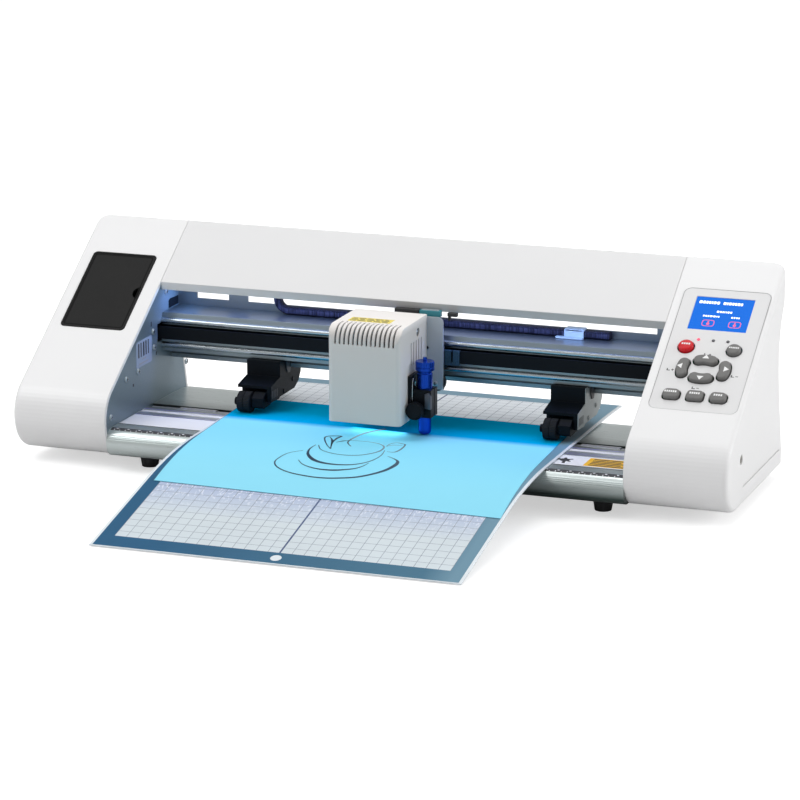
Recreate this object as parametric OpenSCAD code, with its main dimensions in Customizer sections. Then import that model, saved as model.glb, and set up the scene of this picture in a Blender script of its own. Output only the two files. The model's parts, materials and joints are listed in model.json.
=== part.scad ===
// Desktop vinyl cutter with a media mat and a sheet of vinyl loaded.
// +X runs along the carriage travel, +Y to the rear, +Z up from the table.
// Heights are from the table; depths in the modules are from the front nose.

/* [Overall] */
// Width across both end housings
body_w = 626; // [606:2:666]
// Width of one end housing, side plate included
housing_w = 86; // [82:1:90]
// Height of the top ridge
ridge_h = 182; // [178:1:186]
// Radius of the rounded nose at the front of the housings
nose_r = 32.5; // [31:0.5:34]
// Clearance under the housings
floor_gap = 9.4; // [8:0.2:11]

/* [Media path] */
// Height of the platen's top face
platen_h = 36.5; // [36:0.1:37]
// Width of the cutting mat
mat_w = 309; // [300:1:316]
// Thickness of the cutting mat
mat_t = 1; // [0.8:0.1:1.2]
// Width of the vinyl sheet
vinyl_w = 302; // [290:1:306]
// Radius of the grit roller
grit_r = 9; // [8:0.5:9.5]
// Distance from the nose to the grit roller
roller_y = 94; // [93:0.5:95]
// Radius of a pinch wheel
pinch_r = 9; // [8.5:0.1:9.2]
// Left edge of the left pinch roller block
pinch_left_x = -145; // [-170:1:-100]
// Left edge of the right pinch roller block
pinch_right_x = 129.5; // [110:0.5:150]

/* [Cutting head] */
// Left face of the head cover
head_x = -42; // [-60:1:-20]
// Width of the head cover
head_w = 64; // [60:0.5:66]
// Distance from the nose to the front of the head cover
head_y = 42.5; // [41:0.5:44]
// Height of the top of the head cover
head_top = 133; // [131:0.5:133.5]
// Distance from the nose to the blade
blade_y = 74.5; // [74:0.1:75]

/* [Control keys] */
// Height of a key above the panel
key_proud = 3; // [2:0.1:3.5]
// Gap round each key
key_gap = 0.4; // [0.3:0.05:0.5]

/* [Hidden] */
$fn = 48;
// Droop of the mat: bend radius and angle in front and behind, and the straight front stretch
flat_from = 10;
flat_to = 165;
drop_r = 462;
drop_a = 12.5;
straight = 115.7;
rear_r = 1500;
rear_a = 2.5;
mat_front = flat_from - (drop_r + mat_t) * sin(drop_a) - straight * cos(drop_a);
mat_rear = flat_to + (rear_r + mat_t) * sin(rear_a);
// The origin is under the middle of the machine with its mat
nose_y = -(mat_front + mat_rear) / 2;
inner_x = body_w / 2 - housing_w;
plate_t = 2;
wall = 3;
slant = 33.74;
nose_c = [nose_r, floor_gap + nose_r];
ridge_r = 4;
ridge_c = [186.2, ridge_h - ridge_r];
slant_start = nose_c + nose_r * [cos(90 + slant), sin(90 + slant)];
slant_len = (ridge_c - nose_c) * [cos(slant), sin(slant)];
panel_w = 73.6;
panel_l = 136;
panel_t = 1.6;
panel_sink = 0.3;
panel_x = 271.3;
panel_s = 101;
// Places of the keys on the panel: [x, distance up the slope] from the panel's middle
reset_at = [-20.9, 1.2];
origin_at = [19.5, 0.8];
pad_at = [-0.8, -22.6];
row_at = -52.4;
row_pitch = 19.6;
tray_w = 60;
tray_l = 91;
tray_depth = 20;
tray_x = -270.5;
tray_s = 113.5;
lid_gap = 0.4;
lid_t = 2;
hinge_r = 0.8;
hinge_in = 2.4;
hinge_depth = 1.3;
belt_y = 126.35;
belt_z = 96;
belt_w = 11;
belt_t = 1.5;
belt_r = 7.85;
belt_x = inner_x + 25;
rod_r = 2.5;
rod_y = 122.5;
rod_top = 106;
rod_low = 84.5;
run_gap = 0.05;
grit_z = platen_h + 0.25 - grit_r;
shaft_r = 4;
mat_gap = 0.3;
mat_x = 5;
mat_top = platen_h + mat_gap + mat_t;
vinyl_t = 0.3;
vinyl_x = 3.5;
pinch_z = mat_top + vinyl_t + mat_gap + pinch_r;
pinch_w = 30;
pivot_y = 126;
pivot_z = 51;
feed_motor_y = 143;
feed_motor_z = 37;
motor_side = 42;
feed_x = -inner_x - plate_t - 3;
feed_w = 9;
grit_pulley_r = 12;
feed_pulley_r = 6;
blade_x = head_x + head_w + 10.7;
flange_y = 110;
head_floor = 51.3;
head_wall = 2.2;
head_r = 13;
lift_rods = [69, 79];
knob_x = 29.6;
knob_z = 62.2;
sleeve_w = 9.5;
sleeve_t = 6.5;
sleeve_y = 150;
sleeve_z = 112.7;
loop_x = -120;
loop_z = 126.4;

KEYS = ["reset", "origin", "up", "left", "right", "down", "mode", "setup", "test"];

// ---------- helpers ----------

// Points of an arc from angle a0 to a1
function arc(c, r, a0, a1, n = 12) =
    [for (i = [0:n]) c + r * [cos(a0 + (a1 - a0) * i / n), sin(a0 + (a1 - a0) * i / n)]];

// Points of a cubic curve
function cubic(a, b, c, d, n = 12) =
    [for (i = [0:n]) let (t = i / n, u = 1 - t)
        u * u * u * a + 3 * u * u * t * b + 3 * u * t * t * c + t * t * t * d];

function reversed(points) = [for (i = [len(points) - 1:-1:0]) points[i]];

// Rear edge of the housings from the ridge to the floor, drawn in by inset
function rear_edge(inset) = [for (p = concat(
    cubic([190.2, 171], [183, 152], [165, 140], [164, 112]),
    cubic([164, 112], [164, 98], [165, 87.3], [168, 75], 8),
    [[184 - inset * 0.24, floor_gap + inset]])) p - [inset, 0]];

// Side outline of the housings, drawn in by inset and with the ridge lowered down the slope
function outline(inset = 0, drop = 0) = let (
    r = max(ridge_r - inset, 0.6),
    c = ridge_c - drop * [cos(slant), sin(slant)]
        + (r - ridge_r + inset) * [sin(slant), -cos(slant)])
    concat(arc(nose_c, nose_r - inset, 270, 90 + slant, 24), arc(c, r, 90 + slant, 0, 6));

// An outline of [depth, height] points extruded along X from x0
module along_x(x0, length) {
    translate([x0, nose_y, 0]) rotate([90, 0, 90]) linear_extrude(length) children();
}

// A box from its limits in x, depth and height
module block(x, y, z) {
    translate([x[0], nose_y + y[0], z[0]]) cube([x[1] - x[0], y[1] - y[0], z[1] - z[0]]);
}

// Round bars along each axis
module bar_x(x, y, z, r) {
    translate([x[0], nose_y + y, z]) rotate([0, 90, 0]) cylinder(h = x[1] - x[0], r = r);
}
module bar_y(x, y, z, r) {
    translate([x, nose_y + y[1], z]) rotate([90, 0, 0]) cylinder(h = y[1] - y[0], r = r);
}
module bar_z(x, y, z, r) {
    translate([x, nose_y + y, z[0]]) cylinder(h = z[1] - z[0], r = r);
}

// Local frame on the slanted front: +Y up the slope at distance s, +Z outward
module on_slant(x, s) {
    translate([x, nose_y + slant_start[0] + s * cos(slant), slant_start[1] + s * sin(slant)])
        rotate([slant, 0, 0]) children();
}

// Local frame on the flat lower part of the rear face: +Y up, +Z outward
module on_rear(x, z) {
    translate([x, nose_y + 184 - (z - floor_gap) * 16 / (75 - floor_gap), z])
        rotate([-76.3, 0, 0]) mirror([0, 1, 0]) children();
}

module rounded(w, l, r) {
    square([w - 2 * r, l], center = true);
    square([w, l - 2 * r], center = true);
    for (x = [-1, 1], y = [-1, 1])
        translate([x * (w / 2 - r), y * (l / 2 - r)]) circle(r);
}

// ---------- end housings ----------

// Solid of one end housing with its outer edges rounded, before it is hollowed
module housing_solid() {
    edge_r = 5;
    corner_r = 12;
    difference() {
        hull() {
            along_x(inner_x, 1) polygon(concat(outline(), [[190.2, 171], [184, floor_gap]]));
            for (d = [12, 9, 6.5, 4.5, 3, 1.8, 0.9, 0.3]) {
                e = max(0, edge_r - d);
                c = corner_r - d;
                inset = edge_r - sqrt(edge_r * edge_r - e * e);
                drop = corner_r - sqrt(corner_r * corner_r - c * c);
                along_x(body_w / 2 - d, 0.3)
                    polygon(concat(outline(inset, drop), [[184 - inset, floor_gap + inset]]));
            }
        }
        along_x(inner_x - 1, housing_w + 2)
            polygon(concat(rear_edge(0), [[220, floor_gap - 1], [220, 171]]));
    }
}

module housing_shell() {
    difference() {
        housing_solid();
        along_x(inner_x - 1, housing_w - 8) polygon(concat(outline(wall, 1), rear_edge(wall)));
        along_x(inner_x, housing_w - wall) polygon(concat(outline(2 * wall, 8), rear_edge(2 * wall)));
        // Shallow horizontal groove along the outer face
        block([body_w / 2 - 0.8, body_w / 2 + 1], [50, 172], [25, 26.2]);
        // Recess of the side screw
        bar_x([body_w / 2 - 1.5, body_w / 2 + 1], 44, 49.6, 4);
    }
}

module right_housing() {
    color("whitesmoke") difference() {
        housing_shell();
        on_slant(panel_x, panel_s) translate([0, 0, -panel_t - panel_sink])
            linear_extrude(10) rounded(panel_w + 0.4, panel_l + 0.4, 6.2);
        on_slant(panel_x, panel_s) translate([0, 0, -8])
            linear_extrude(10) rounded(panel_w - 5, panel_l - 5, 4);
        // Data socket hole
        on_rear(270, 34) translate([0, 0, -6]) linear_extrude(8) square([12.6, 11.6], center = true);
    }
}

module left_housing() {
    color("whitesmoke") difference() {
        mirror([1, 0, 0]) housing_shell();
        on_slant(tray_x, tray_s) translate([0, 0, -12])
            linear_extrude(20) rounded(tray_w + 0.3, tray_l + 0.3, 4.15);
        // Mains inlet and switch holes
        on_rear(-288, 34) translate([0, 0, -6]) linear_extrude(8) square([27.4, 20.4], center = true);
        on_rear(-256, 34) translate([0, 0, -6]) linear_extrude(8) square([13.4, 19.4], center = true);
    }
}

// ---------- frame ----------

module side_plate() {
    inset = wall + 0.2;
    difference() {
        along_x(inner_x, plate_t) polygon(concat(outline(inset, 1), rear_edge(inset)));
        bar_x([inner_x - 1, inner_x + 3], roller_y, grit_z, 8 + run_gap);
        // Window for both runs of the carriage belt
        block([inner_x - 1, inner_x + 3], [113, 140], [88, 104]);
    }
}

module right_side_plate() {
    color("silver") side_plate();
}

module left_side_plate() {
    color("silver") mirror([1, 0, 0]) side_plate();
}

module top_cover() {
    gap = 0.2;
    outer = concat([[123, 133.1], [121.8, 139.95]], arc(ridge_c, ridge_r, 90 + slant, 0, 6),
        [[190, 171], [185.5, 152], [184, 150]]);
    inner = concat([[125.2, 135.8], [124.6, 137.8]], arc(ridge_c - [1.2, 1.8], 1.5, 90 + slant, 0, 4),
        [[187, 171], [183, 153], [182, 152.2]]);
    color("whitesmoke") difference() {
        along_x(-inner_x + gap, 2 * (inner_x - gap)) difference() {
            polygon(outer);
            polygon(inner);
        }
        // Fine grooves below the ridge
        for (i = [0:3]) on_slant(0, slant_len - 1 - 5 * i)
            cube([2 * inner_x + 2, 0.8, 0.9], center = true);
    }
}

module beam() {
    slot = [89.5, 102.5];
    color("silver") along_x(-inner_x, 2 * inner_x) difference() {
        polygon([[rod_y, 79], [rod_y, slot[0]], [140, slot[0]], [140, slot[1]], [rod_y, slot[1]],
            [rod_y, 108.6], [123.6, 108.6], [125, 112.4], [162, 112.4], [162, 104], [156, 100],
            [156, 76.4], [148.2, 76.4], [148.2, 72.6], [151, 72.6], [151, 69], [141, 69],
            [141, 72.6], [143.8, 72.6], [143.8, 76.4], [128.5, 77.5]]);
        polygon([[143, 80], [153, 80], [153, 101.5], [157, 105.4], [157, 109], [128, 109],
            [128, 105.5], [143, 105.5]]);
        polygon([[127, 80.8], [140.5, 79.6], [140.5, 86.5], [127, 86.5]]);
        for (z = [rod_top, rod_low]) translate([rod_y, z]) circle(rod_r);
    }
}

module guide_rods() {
    color("lightgray") for (z = [rod_top, rod_low])
        bar_x([-inner_x, inner_x], rod_y, z, rod_r);
}

// Upright edge behind the beam's top, with the posts that carry the cover
module cable_rail() {
    wall_y = 160;
    wall_t = 1.5;
    post_w = 18;
    color("silver") {
        block([-inner_x, inner_x], [wall_y, wall_y + wall_t], [112.4, 119]);
        for (x = [-inner_x, -179, -post_w / 2, inner_x - post_w])
            block([x, x + post_w], [wall_y, wall_y + wall_t], [119, 143.3]);
    }
}

module platen() {
    nose = 12;
    nose_at = [2 + nose, platen_h - nose];
    color("silver") difference() {
        along_x(-inner_x, 2 * inner_x) difference() {
            polygon(concat(arc(nose_at, nose, 270, 90, 40), [
                [105, platen_h], [140, platen_h - 0.4], [165, platen_h - 1.3],
                [178, platen_h - 3], [180, platen_h - 6], [180, 14], [178, 12], [22, 12]]));
            translate([roller_y, grit_z]) circle(grit_r + 1.5);
            polygon([[20, platen_h - 3], [20, 15], [80, 15], [80, platen_h - 3]]);
            polygon([[108, platen_h - 3], [108, 15], [176, 15], [176, platen_h - 6]]);
            // Groove of the cutting strip
            translate([blade_y - 3, platen_h - 1]) square([6, 2]);
            // Fine ridges along the nose
            for (i = [0:2]) translate(nose_at) rotate(143 + 8 * i) translate([nose, 0]) circle(0.4, $fn = 16);
        }
        for (x = [-201, 201], y = [34, 160]) bar_z(x, y, [8, 17], 2);
    }
}

module cutting_strip() {
    color("ivory") block([-inner_x + 1, inner_x - 1], [blade_y - 2.9, blade_y + 2.9],
        [platen_h - 1, platen_h]);
}

module rubber_feet() {
    color("black") for (x = [-201, 201], y = [34, 160]) {
        translate([x, nose_y + y, 0]) cylinder(h = 12, r1 = 7, r2 = 9);
        bar_z(x, y, [12, 17], 1.95);
    }
}

// ---------- control panel ----------

// A kidney-shaped arrow key bent round the middle of the keypad
module bean(w = 8, bend = 19, spread = 18) {
    polygon(concat(arc([0, -bend], bend + w / 2, 90 - spread, 90 + spread, 10),
        arc([0, -bend] + bend * [cos(90 + spread), sin(90 + spread)], w / 2,
            90 + spread, 270 + spread, 10),
        arc([0, -bend], bend - w / 2, 90 + spread, 90 - spread, 10),
        arc([0, -bend] + bend * [cos(90 - spread), sin(90 - spread)], w / 2,
            -90 - spread, 90 - spread, 10)));
}

// Outline of one key in panel coordinates, grown all round
module key_outline(name, grow = 0) {
    if (name == "reset") translate(reset_at) circle(7 + grow);
    if (name == "origin") translate(origin_at) circle(6.6 + grow);
    if (name == "up") translate(pad_at + [0, 10.4]) bean(10 + 2 * grow);
    if (name == "down") translate(pad_at - [0, 10.4]) rotate(180) bean(10 + 2 * grow);
    if (name == "left") translate(pad_at - [18, 0]) rotate(90) bean(10 + 2 * grow);
    if (name == "right") translate(pad_at + [18, 0]) rotate(-90) bean(10 + 2 * grow);
    if (name == "mode") translate([-row_pitch - 1, row_at]) rounded(15 + 2 * grow, 11 + 2 * grow, 4 + grow);
    if (name == "setup") translate([-0.8, row_at]) rounded(15 + 2 * grow, 11 + 2 * grow, 3 + grow);
    if (name == "test") translate([row_pitch - 1, row_at]) rounded(15 + 2 * grow, 11 + 2 * grow, 4 + grow);
}

module on_panel() {
    on_slant(panel_x, panel_s) children();
}

module key(name, shade) {
    flange = panel_t + panel_sink + 0.3;
    color(shade) on_panel() {
        translate([0, 0, -flange - 1.2]) linear_extrude(key_proud + flange + 1.2)
            key_outline(name);
        translate([0, 0, -flange - 1.2]) linear_extrude(1.2) key_outline(name, 0.9);
    }
}

module control_panel() {
    color("gainsboro") on_panel() translate([0, 0, -panel_t - panel_sink]) difference() {
        linear_extrude(panel_t) difference() {
            rounded(panel_w, panel_l, 6);
            for (name = KEYS) key_outline(name, key_gap);
            // Window of the display
            translate([-0.3, 40.6]) square([49.6, 37.6], center = true);
        }
        // Holes of the status lights
        for (x = [-12.6, 0, 12.2]) translate([x, 10.4, -1]) cylinder(h = 4, r = 1.4, $fn = 24);
    }
}

module display() {
    color("dodgerblue") on_panel() {
        translate([-0.3, 40.6, -panel_t - panel_sink]) linear_extrude(0.8)
            square([49.2, 37.2], center = true);
        translate([-0.3, 40.6, -panel_t - panel_sink - 5]) linear_extrude(5)
            square([60, 44], center = true);
    }
}

module circuit_boards() {
    board_t = 1.6;
    depth = 9;
    color("darkgreen") {
        on_panel() {
            translate([0, -22, -depth - board_t]) linear_extrude(board_t) rounded(64, 80, 3);
            for (x = [-30, 30], y = [-33, 13]) translate([x, y, -depth])
                cylinder(h = depth - panel_t - panel_sink, r = 1.8);
            // A tact switch below each key
            for (name = KEYS) translate([0, 0, -depth]) linear_extrude(4.4) intersection() {
                key_outline(name, -2.5);
                translate([0, -22]) square([60, 78], center = true);
            }
            // Status lights
            for (x = [-12.6, 0, 12.2]) translate([x, 10.4, -depth])
                cylinder(h = depth - 0.2, r = 1.25, $fn = 24);
        }
        // Main board on posts from the outer wall
        block([290, 290 + board_t], [46, 156], [18, 58]);
        for (y = [51, 151], z = [23, 53])
            bar_x([290 + board_t, body_w / 2 - wall], y, z, 3);
        block([282, 290], [60, 76], [30, 46]);
        block([284, 290], [90, 110], [24, 40]);
    }
}

// ---------- storage tray in the left housing ----------

module storage_tray() {
    t = 1.6;
    color([0.1, 0.1, 0.1]) on_slant(tray_x, tray_s) difference() {
        translate([0, 0, -tray_depth]) linear_extrude(tray_depth - 0.1) rounded(tray_w, tray_l, 4);
        translate([0, 0, -tray_depth + t]) linear_extrude(tray_depth)
            rounded(tray_w - 2 * t, tray_l - 2 * t, 3);
        // Sockets of the hinge pins
        translate([-tray_w / 2 + t + lid_gap + hinge_in, -tray_l / 2 + 0.4, -hinge_depth])
            rotate([-90, 0, 0]) cylinder(h = tray_l - 0.8, r = hinge_r + run_gap);
    }
}

module tray_lid() {
    t = 1.6;
    w = tray_w - 2 * (t + lid_gap);
    l = tray_l - 2 * (t + lid_gap);
    color([0.13, 0.13, 0.13]) on_slant(tray_x, tray_s) {
        difference() {
            translate([0, 0, -lid_t - 0.3]) linear_extrude(lid_t) rounded(w, l, 2.6);
            // Finger notch
            translate([w / 2 + 1.5, 0, -6]) cylinder(h = 8, r = 7);
        }
        // Hinge pins at both ends of the left edge
        for (y = [-l / 2 - 1.5, l / 2 - 3]) translate([-w / 2 + hinge_in, y, -hinge_depth])
            rotate([-90, 0, 0]) cylinder(h = 4.5, r = hinge_r);
    }
}

// ---------- drives ----------

// A stepping motor with its shaft along +Z and its face at z = 0
module stepper(length) {
    difference() {
        translate([0, 0, -length]) linear_extrude(length) rounded(motor_side, motor_side, 4);
        translate([0, 0, -10]) cylinder(h = 12, r = 2.5 + run_gap);
    }
    difference() {
        cylinder(h = 2, r = 11);
        translate([0, 0, -1]) cylinder(h = 4, r = 2.5 + run_gap);
    }
}

module carriage_motor() {
    color("dimgray") translate([belt_x, nose_y + belt_y, 84]) stepper(38);
}

module pulley(w, r, flange_r, bore_r) {
    difference() {
        union() {
            cylinder(h = w, r = r - run_gap);
            for (z = [0, w - 1.2]) translate([0, 0, z]) cylinder(h = 1.2, r = flange_r);
        }
        translate([0, 0, -1]) cylinder(h = w + 2, r = bore_r);
    }
}

module drive_pulley() {
    color("silver") translate([belt_x, nose_y + belt_y, 0]) {
        translate([0, 0, belt_z - 7]) pulley(14, belt_r, 9.6, 2.4);
        translate([0, 0, 75]) cylinder(h = 30, r = 2.5);
    }
}

module idler_pulley() {
    color("silver") translate([-belt_x, nose_y + belt_y, belt_z - 7])
        pulley(14, belt_r, 9.6, 2.5 + run_gap);
}

// Brackets that hold the belt's motor and idler behind the side plates
module belt_brackets() {
    outer = inner_x + plate_t;
    color("darkgray") {
        difference() {
            block([outer, belt_x + 21], [belt_y - 21, belt_y + 21], [84, 87]);
            bar_z(belt_x, belt_y, [80, 90], 11.2);
        }
        for (z = [84, 105])
            block([-belt_x - 10, -outer], [belt_y - 10, belt_y + 10], [z, z + 3]);
        bar_z(-belt_x, belt_y, [87, 105], 2.5);
    }
}

module carriage_belt() {
    color([0.08, 0.08, 0.08]) translate([0, nose_y + belt_y, belt_z - belt_w / 2])
        linear_extrude(belt_w) difference() {
            union() {
                square([2 * belt_x, 2 * (belt_r + belt_t)], center = true);
                for (x = [-belt_x, belt_x]) translate([x, 0]) circle(belt_r + belt_t);
            }
            square([2 * belt_x, 2 * belt_r], center = true);
            for (x = [-belt_x, belt_x]) translate([x, 0]) circle(belt_r);
        }
}

module feed_motor() {
    face = feed_x - feed_w - 3.5;
    color("dimgray") {
        translate([face, nose_y + feed_motor_y, feed_motor_z]) rotate([0, 90, 0]) stepper(40);
        // Spacers that hold the motor off the side plate
        for (y = [-15.5, 15.5], z = [-15.5, 15.5])
            bar_x([face, -inner_x - plate_t], feed_motor_y + y, feed_motor_z + z, 2.6);
    }
}

module feed_pulley() {
    face = feed_x - feed_w - 3.5;
    color("silver") {
        translate([feed_x - feed_w, nose_y + feed_motor_y, feed_motor_z]) rotate([0, 90, 0])
            pulley(feed_w, feed_pulley_r, 8, 2.4);
        bar_x([face - 9, feed_x], feed_motor_y, feed_motor_z, 2.5);
    }
}

module feed_belt() {
    belt_len = feed_w - 3;
    color([0.08, 0.08, 0.08]) along_x(feed_x - feed_w + 1.5, belt_len) difference() {
        hull() {
            translate([roller_y, grit_z]) circle(grit_pulley_r + belt_t, $fn = 64);
            translate([feed_motor_y, feed_motor_z]) circle(feed_pulley_r + belt_t, $fn = 48);
        }
        hull() {
            translate([roller_y, grit_z]) circle(grit_pulley_r + 0.05, $fn = 64);
            translate([feed_motor_y, feed_motor_z]) circle(feed_pulley_r + 0.05, $fn = 48);
        }
    }
}

// Feed shaft with raised gritted bands, and its pulley on the left end
module grit_roller() {
    shaft_end = inner_x + plate_t + 6;
    bands = 8;
    band_w = 34;
    pitch = (2 * inner_x - 40) / bands;
    color("slategray") {
        bar_x([feed_x - feed_w - 2, shaft_end], roller_y, grit_z, shaft_r);
        bar_x([-inner_x + 3, inner_x - 3], roller_y, grit_z, grit_r - 1);
        for (i = [0:bands - 1])
            bar_x([-inner_x + 20 + pitch * (i + 0.5) - band_w / 2,
                -inner_x + 20 + pitch * (i + 0.5) + band_w / 2], roller_y, grit_z, grit_r);
        translate([feed_x - feed_w, nose_y + roller_y, grit_z]) rotate([0, 90, 0])
            pulley(feed_w, grit_pulley_r, grit_pulley_r + 1.8, shaft_r - 0.5);
    }
}

module roller_bearings() {
    color("lightgray") for (side = [-1, 1]) {
        x = side < 0 ? [-inner_x - 2.2, -inner_x + 2.6] : [inner_x - 2.6, inner_x + 2.2];
        difference() {
            bar_x(x, roller_y, grit_z, 8);
            bar_x([x[0] - 1, x[1] + 1], roller_y, grit_z, shaft_r + run_gap);
        }
    }
}

// ---------- power and data ----------

module power_supply() {
    color("silver") {
        block([-302, -264], [38, 120], [18, 52]);
        for (y = [42, 116], x = [-298, -268]) bar_z(x, y, [floor_gap + wall, 18], 2.5);
    }
}

module rear_sockets() {
    color([0.1, 0.1, 0.1]) {
        on_rear(-288, 34) difference() {
            union() {
                translate([0, 0, -9]) linear_extrude(9) square([27, 20], center = true);
                linear_extrude(2) rounded(31, 24, 2);
            }
            translate([0, 0, -6]) linear_extrude(9) square([22, 14], center = true);
        }
        on_rear(-288, 34) for (x = [-7, 0, 7])
            translate([x, x == 0 ? 2 : -2, -7]) linear_extrude(5) square([1.6, 4], center = true);
        on_rear(-256, 34) difference() {
            union() {
                translate([0, 0, -10]) linear_extrude(10) square([13, 19], center = true);
                linear_extrude(1.6) rounded(15, 21, 1.5);
            }
            translate([0, 0, -8]) linear_extrude(10) square([9.6, 15.6], center = true);
            translate([-5.6, 0, -2]) rotate([0, 90, 0]) cylinder(h = 11.2, r = 1.2 + run_gap);
        }
        on_rear(270, 34) difference() {
            translate([0, 0, -8]) linear_extrude(8.6) square([12, 11], center = true);
            translate([0, 0, -6]) linear_extrude(9) square([8.4, 7.6], center = true);
        }
    }
}

module power_rocker() {
    color("firebrick") on_rear(-256, 34) translate([0, 0, -2]) rotate([7, 0, 0]) {
        translate([-4.5, 0, 0]) rotate([0, 90, 0]) linear_extrude(9)
            polygon([[-4.4, -6.4], [-3.4, 0], [-4.4, 6.4], [2.4, 5.4], [2.4, -5.4]]);
        translate([-5.3, 0, 0]) rotate([0, 90, 0]) cylinder(h = 10.6, r = 1.2);
    }
}

// ---------- carriage and head ----------

module carriage_plate() {
    y0 = flange_y + 2;
    color([0.15, 0.15, 0.16]) difference() {
        union() {
            block([-38, 36], [y0, y0 + 3], [68, 110]);
            bar_y(30, [y0, y0 + 3], 74.5, 8);
        }
        for (x = [-28, 22], z = [82, 104]) bar_y(x, [y0 - 1, y0 + 4], z, 1.6);
    }
}

// Sliding shoes with round grooves that run on the guide rods
module guide_shoes() {
    y0 = flange_y + 5;
    color("dimgray") difference() {
        for (x = [-36, 12], z = [rod_top, rod_low])
            block([x, x + 18], [y0, rod_y - 0.5], [z - 4, z + 4]);
        for (z = [rod_top, rod_low]) bar_x([-40, 40], rod_y, z, rod_r + run_gap);
    }
}

// Two clips that grip the belt beside the head
module belt_clamps() {
    y0 = flange_y + 5;
    front = belt_y - belt_r - belt_t;
    color("lightgray") for (x = [[31, 41.6], [43.4, 49]]) {
        block(x, [y0, front - 0.05], [belt_z - belt_w / 2 - 1.4, belt_z + belt_w / 2 + 0.4]);
        block(x, [y0, front + belt_t + 1.3], [belt_z - belt_w / 2 - 1.4, belt_z - belt_w / 2 - 0.1]);
        block(x, [front + belt_t + 0.1, front + belt_t + 1.3],
            [belt_z - belt_w / 2 - 1.4, belt_z + belt_w / 2]);
    }
    color("lightgray") block([41.6, 43.4], [y0, front - 0.05],
        [belt_z - belt_w / 2 - 1.4, belt_z - belt_w / 2 + 1]);
}

// Side outline of the head cover drawn in by inset
function head_outline(inset) = concat(
    [[flange_y, head_top - inset]],
    arc([head_y + head_r, head_top - head_r], head_r - inset, 90, 180, 12),
    [[head_y + inset, head_floor], [66, head_floor], [82, 67.4], [flange_y, 68.4]]);

module head_cover() {
    vents = 14;
    pitch = 3.95;
    color("gainsboro") difference() {
        intersection() {
            along_x(head_x, head_w) polygon(head_outline(0));
            translate([head_x + head_w / 2, nose_y + (head_y + flange_y) / 2 + 5, 40])
                linear_extrude(120) rounded(head_w, flange_y - head_y + 10, 4);
        }
        along_x(head_x + head_wall, head_w - 2 * head_wall) polygon(concat(
            [[flange_y + 1, head_top - head_wall]],
            arc([head_y + head_r, head_top - head_r], head_r - head_wall, 90, 180, 10),
            [[head_y + head_wall, head_floor - 5], [flange_y + 1, head_floor - 5]]));
        // Vents over the top front edge
        for (i = [0:vents - 1])
            translate([head_x + 6 + pitch * i, nose_y + head_y - 1, head_top - 15])
                cube([1.5, 21, 17]);
        // Vents in the right side
        for (i = [0:4]) block([head_x + head_w - 4, head_x + head_w + 1],
            [69.4 + 6.25 * i, 71.6 + 6.25 * i], [97.5, 116.5]);
        // Slot for the lift arm
        block([head_x + head_w - 4, head_x + head_w + 1], [68, 81], [69, 89]);
        bar_x([head_x + head_w - 1.2, head_x + head_w + 1], 87.2, 122.4, 3.6);
    }
}

module head_back() {
    right = head_x + head_w + 14.2;
    corner = 5;
    color([0.72, 0.75, 0.78]) difference() {
        translate([0, nose_y + flange_y + 2, 0]) rotate([90, 0, 0]) linear_extrude(2) union() {
            translate([head_x, 68.4]) square([right - head_x - corner, head_top - 70.6]);
            translate([head_x, 68.4]) square([right - head_x, head_top - 70.6 - corner]);
            translate([right - corner, head_top - 2.2 - corner]) circle(corner);
        }
        for (x = [-28, 22], z = [82, 104]) bar_y(x, [flange_y - 1, flange_y + 3], z, 1.6);
        bar_y(29.3, [flange_y - 1, flange_y + 3], 73.5, 1.3);
    }
}

// Voice coil inside the head, with the frame and the two rods that guide the lift
module lift_motor() {
    color("dimgray") {
        block([-26, 4], [58, flange_y], [78, 112]);
        bar_z(-11, 75, [112, 118], 12);
        for (z = [[104, 108], [63, 66]]) block([4, 18], [66, 82], z);
        block([4, 6.5], [66, 82], [63, 108]);
        for (y = lift_rods) bar_z(13.5, y, [66, 104], 1.5);
    }
}

module holder_clamp() {
    face = head_x + head_w;
    color([0.09, 0.09, 0.1]) difference() {
        union() {
            // Slider on the lift rods and its arm through the cover
            block([8.5, 18.5], [66.5, 82], [71, 86]);
            block([18.5, face + 0.4], [69.5, 79.5], [71, 82]);
            block([face + 0.4, face + 2.6], [61.5, 82.3], [56, 90.5]);
            // Clamp round the blade holder
            block([face + 2.6, blade_x + 8.3], [65.5, 82.3], [54.8, 78.5]);
        }
        for (y = lift_rods) bar_z(13.5, y, [70, 88], 1.5 + run_gap);
        bar_z(blade_x, blade_y, [54, 80], 6.5 + run_gap);
        // Split of the clamp
        block([blade_x + 5, blade_x + 9], [blade_y - 0.8, blade_y + 0.8], [54, 80]);
        bar_y(knob_x, [61, 67], knob_z, 2.05);
    }
}

module clamp_knob() {
    color([0.07, 0.07, 0.08]) {
        difference() {
            bar_y(knob_x, [55, 61], knob_z, 7.4);
            for (i = [0:17]) translate([knob_x, nose_y + 54, knob_z]) rotate([-90, i * 20, 0])
                translate([7.6, 0, 0]) cylinder(h = 8, r = 0.5, $fn = 16);
        }
        bar_y(knob_x, [61, 66.8], knob_z, 2);
    }
}

module blade_holder() {
    color("royalblue") difference() {
        translate([blade_x, nose_y + blade_y, 0]) rotate_extrude() polygon([[0, 39], [3.6, 39],
            [5, 40.2], [5.45, 42], [5.45, 54.5], [6.5, 55.2], [6.5, 91], [6, 91.6], [6, 92.2],
            [6.5, 92.8], [6.5, 93.4], [0, 93.4]]);
        bar_z(blade_x, blade_y, [38, 46], 1.25);
        bar_z(blade_x, blade_y, [46, 94], 2.6);
    }
}

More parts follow.
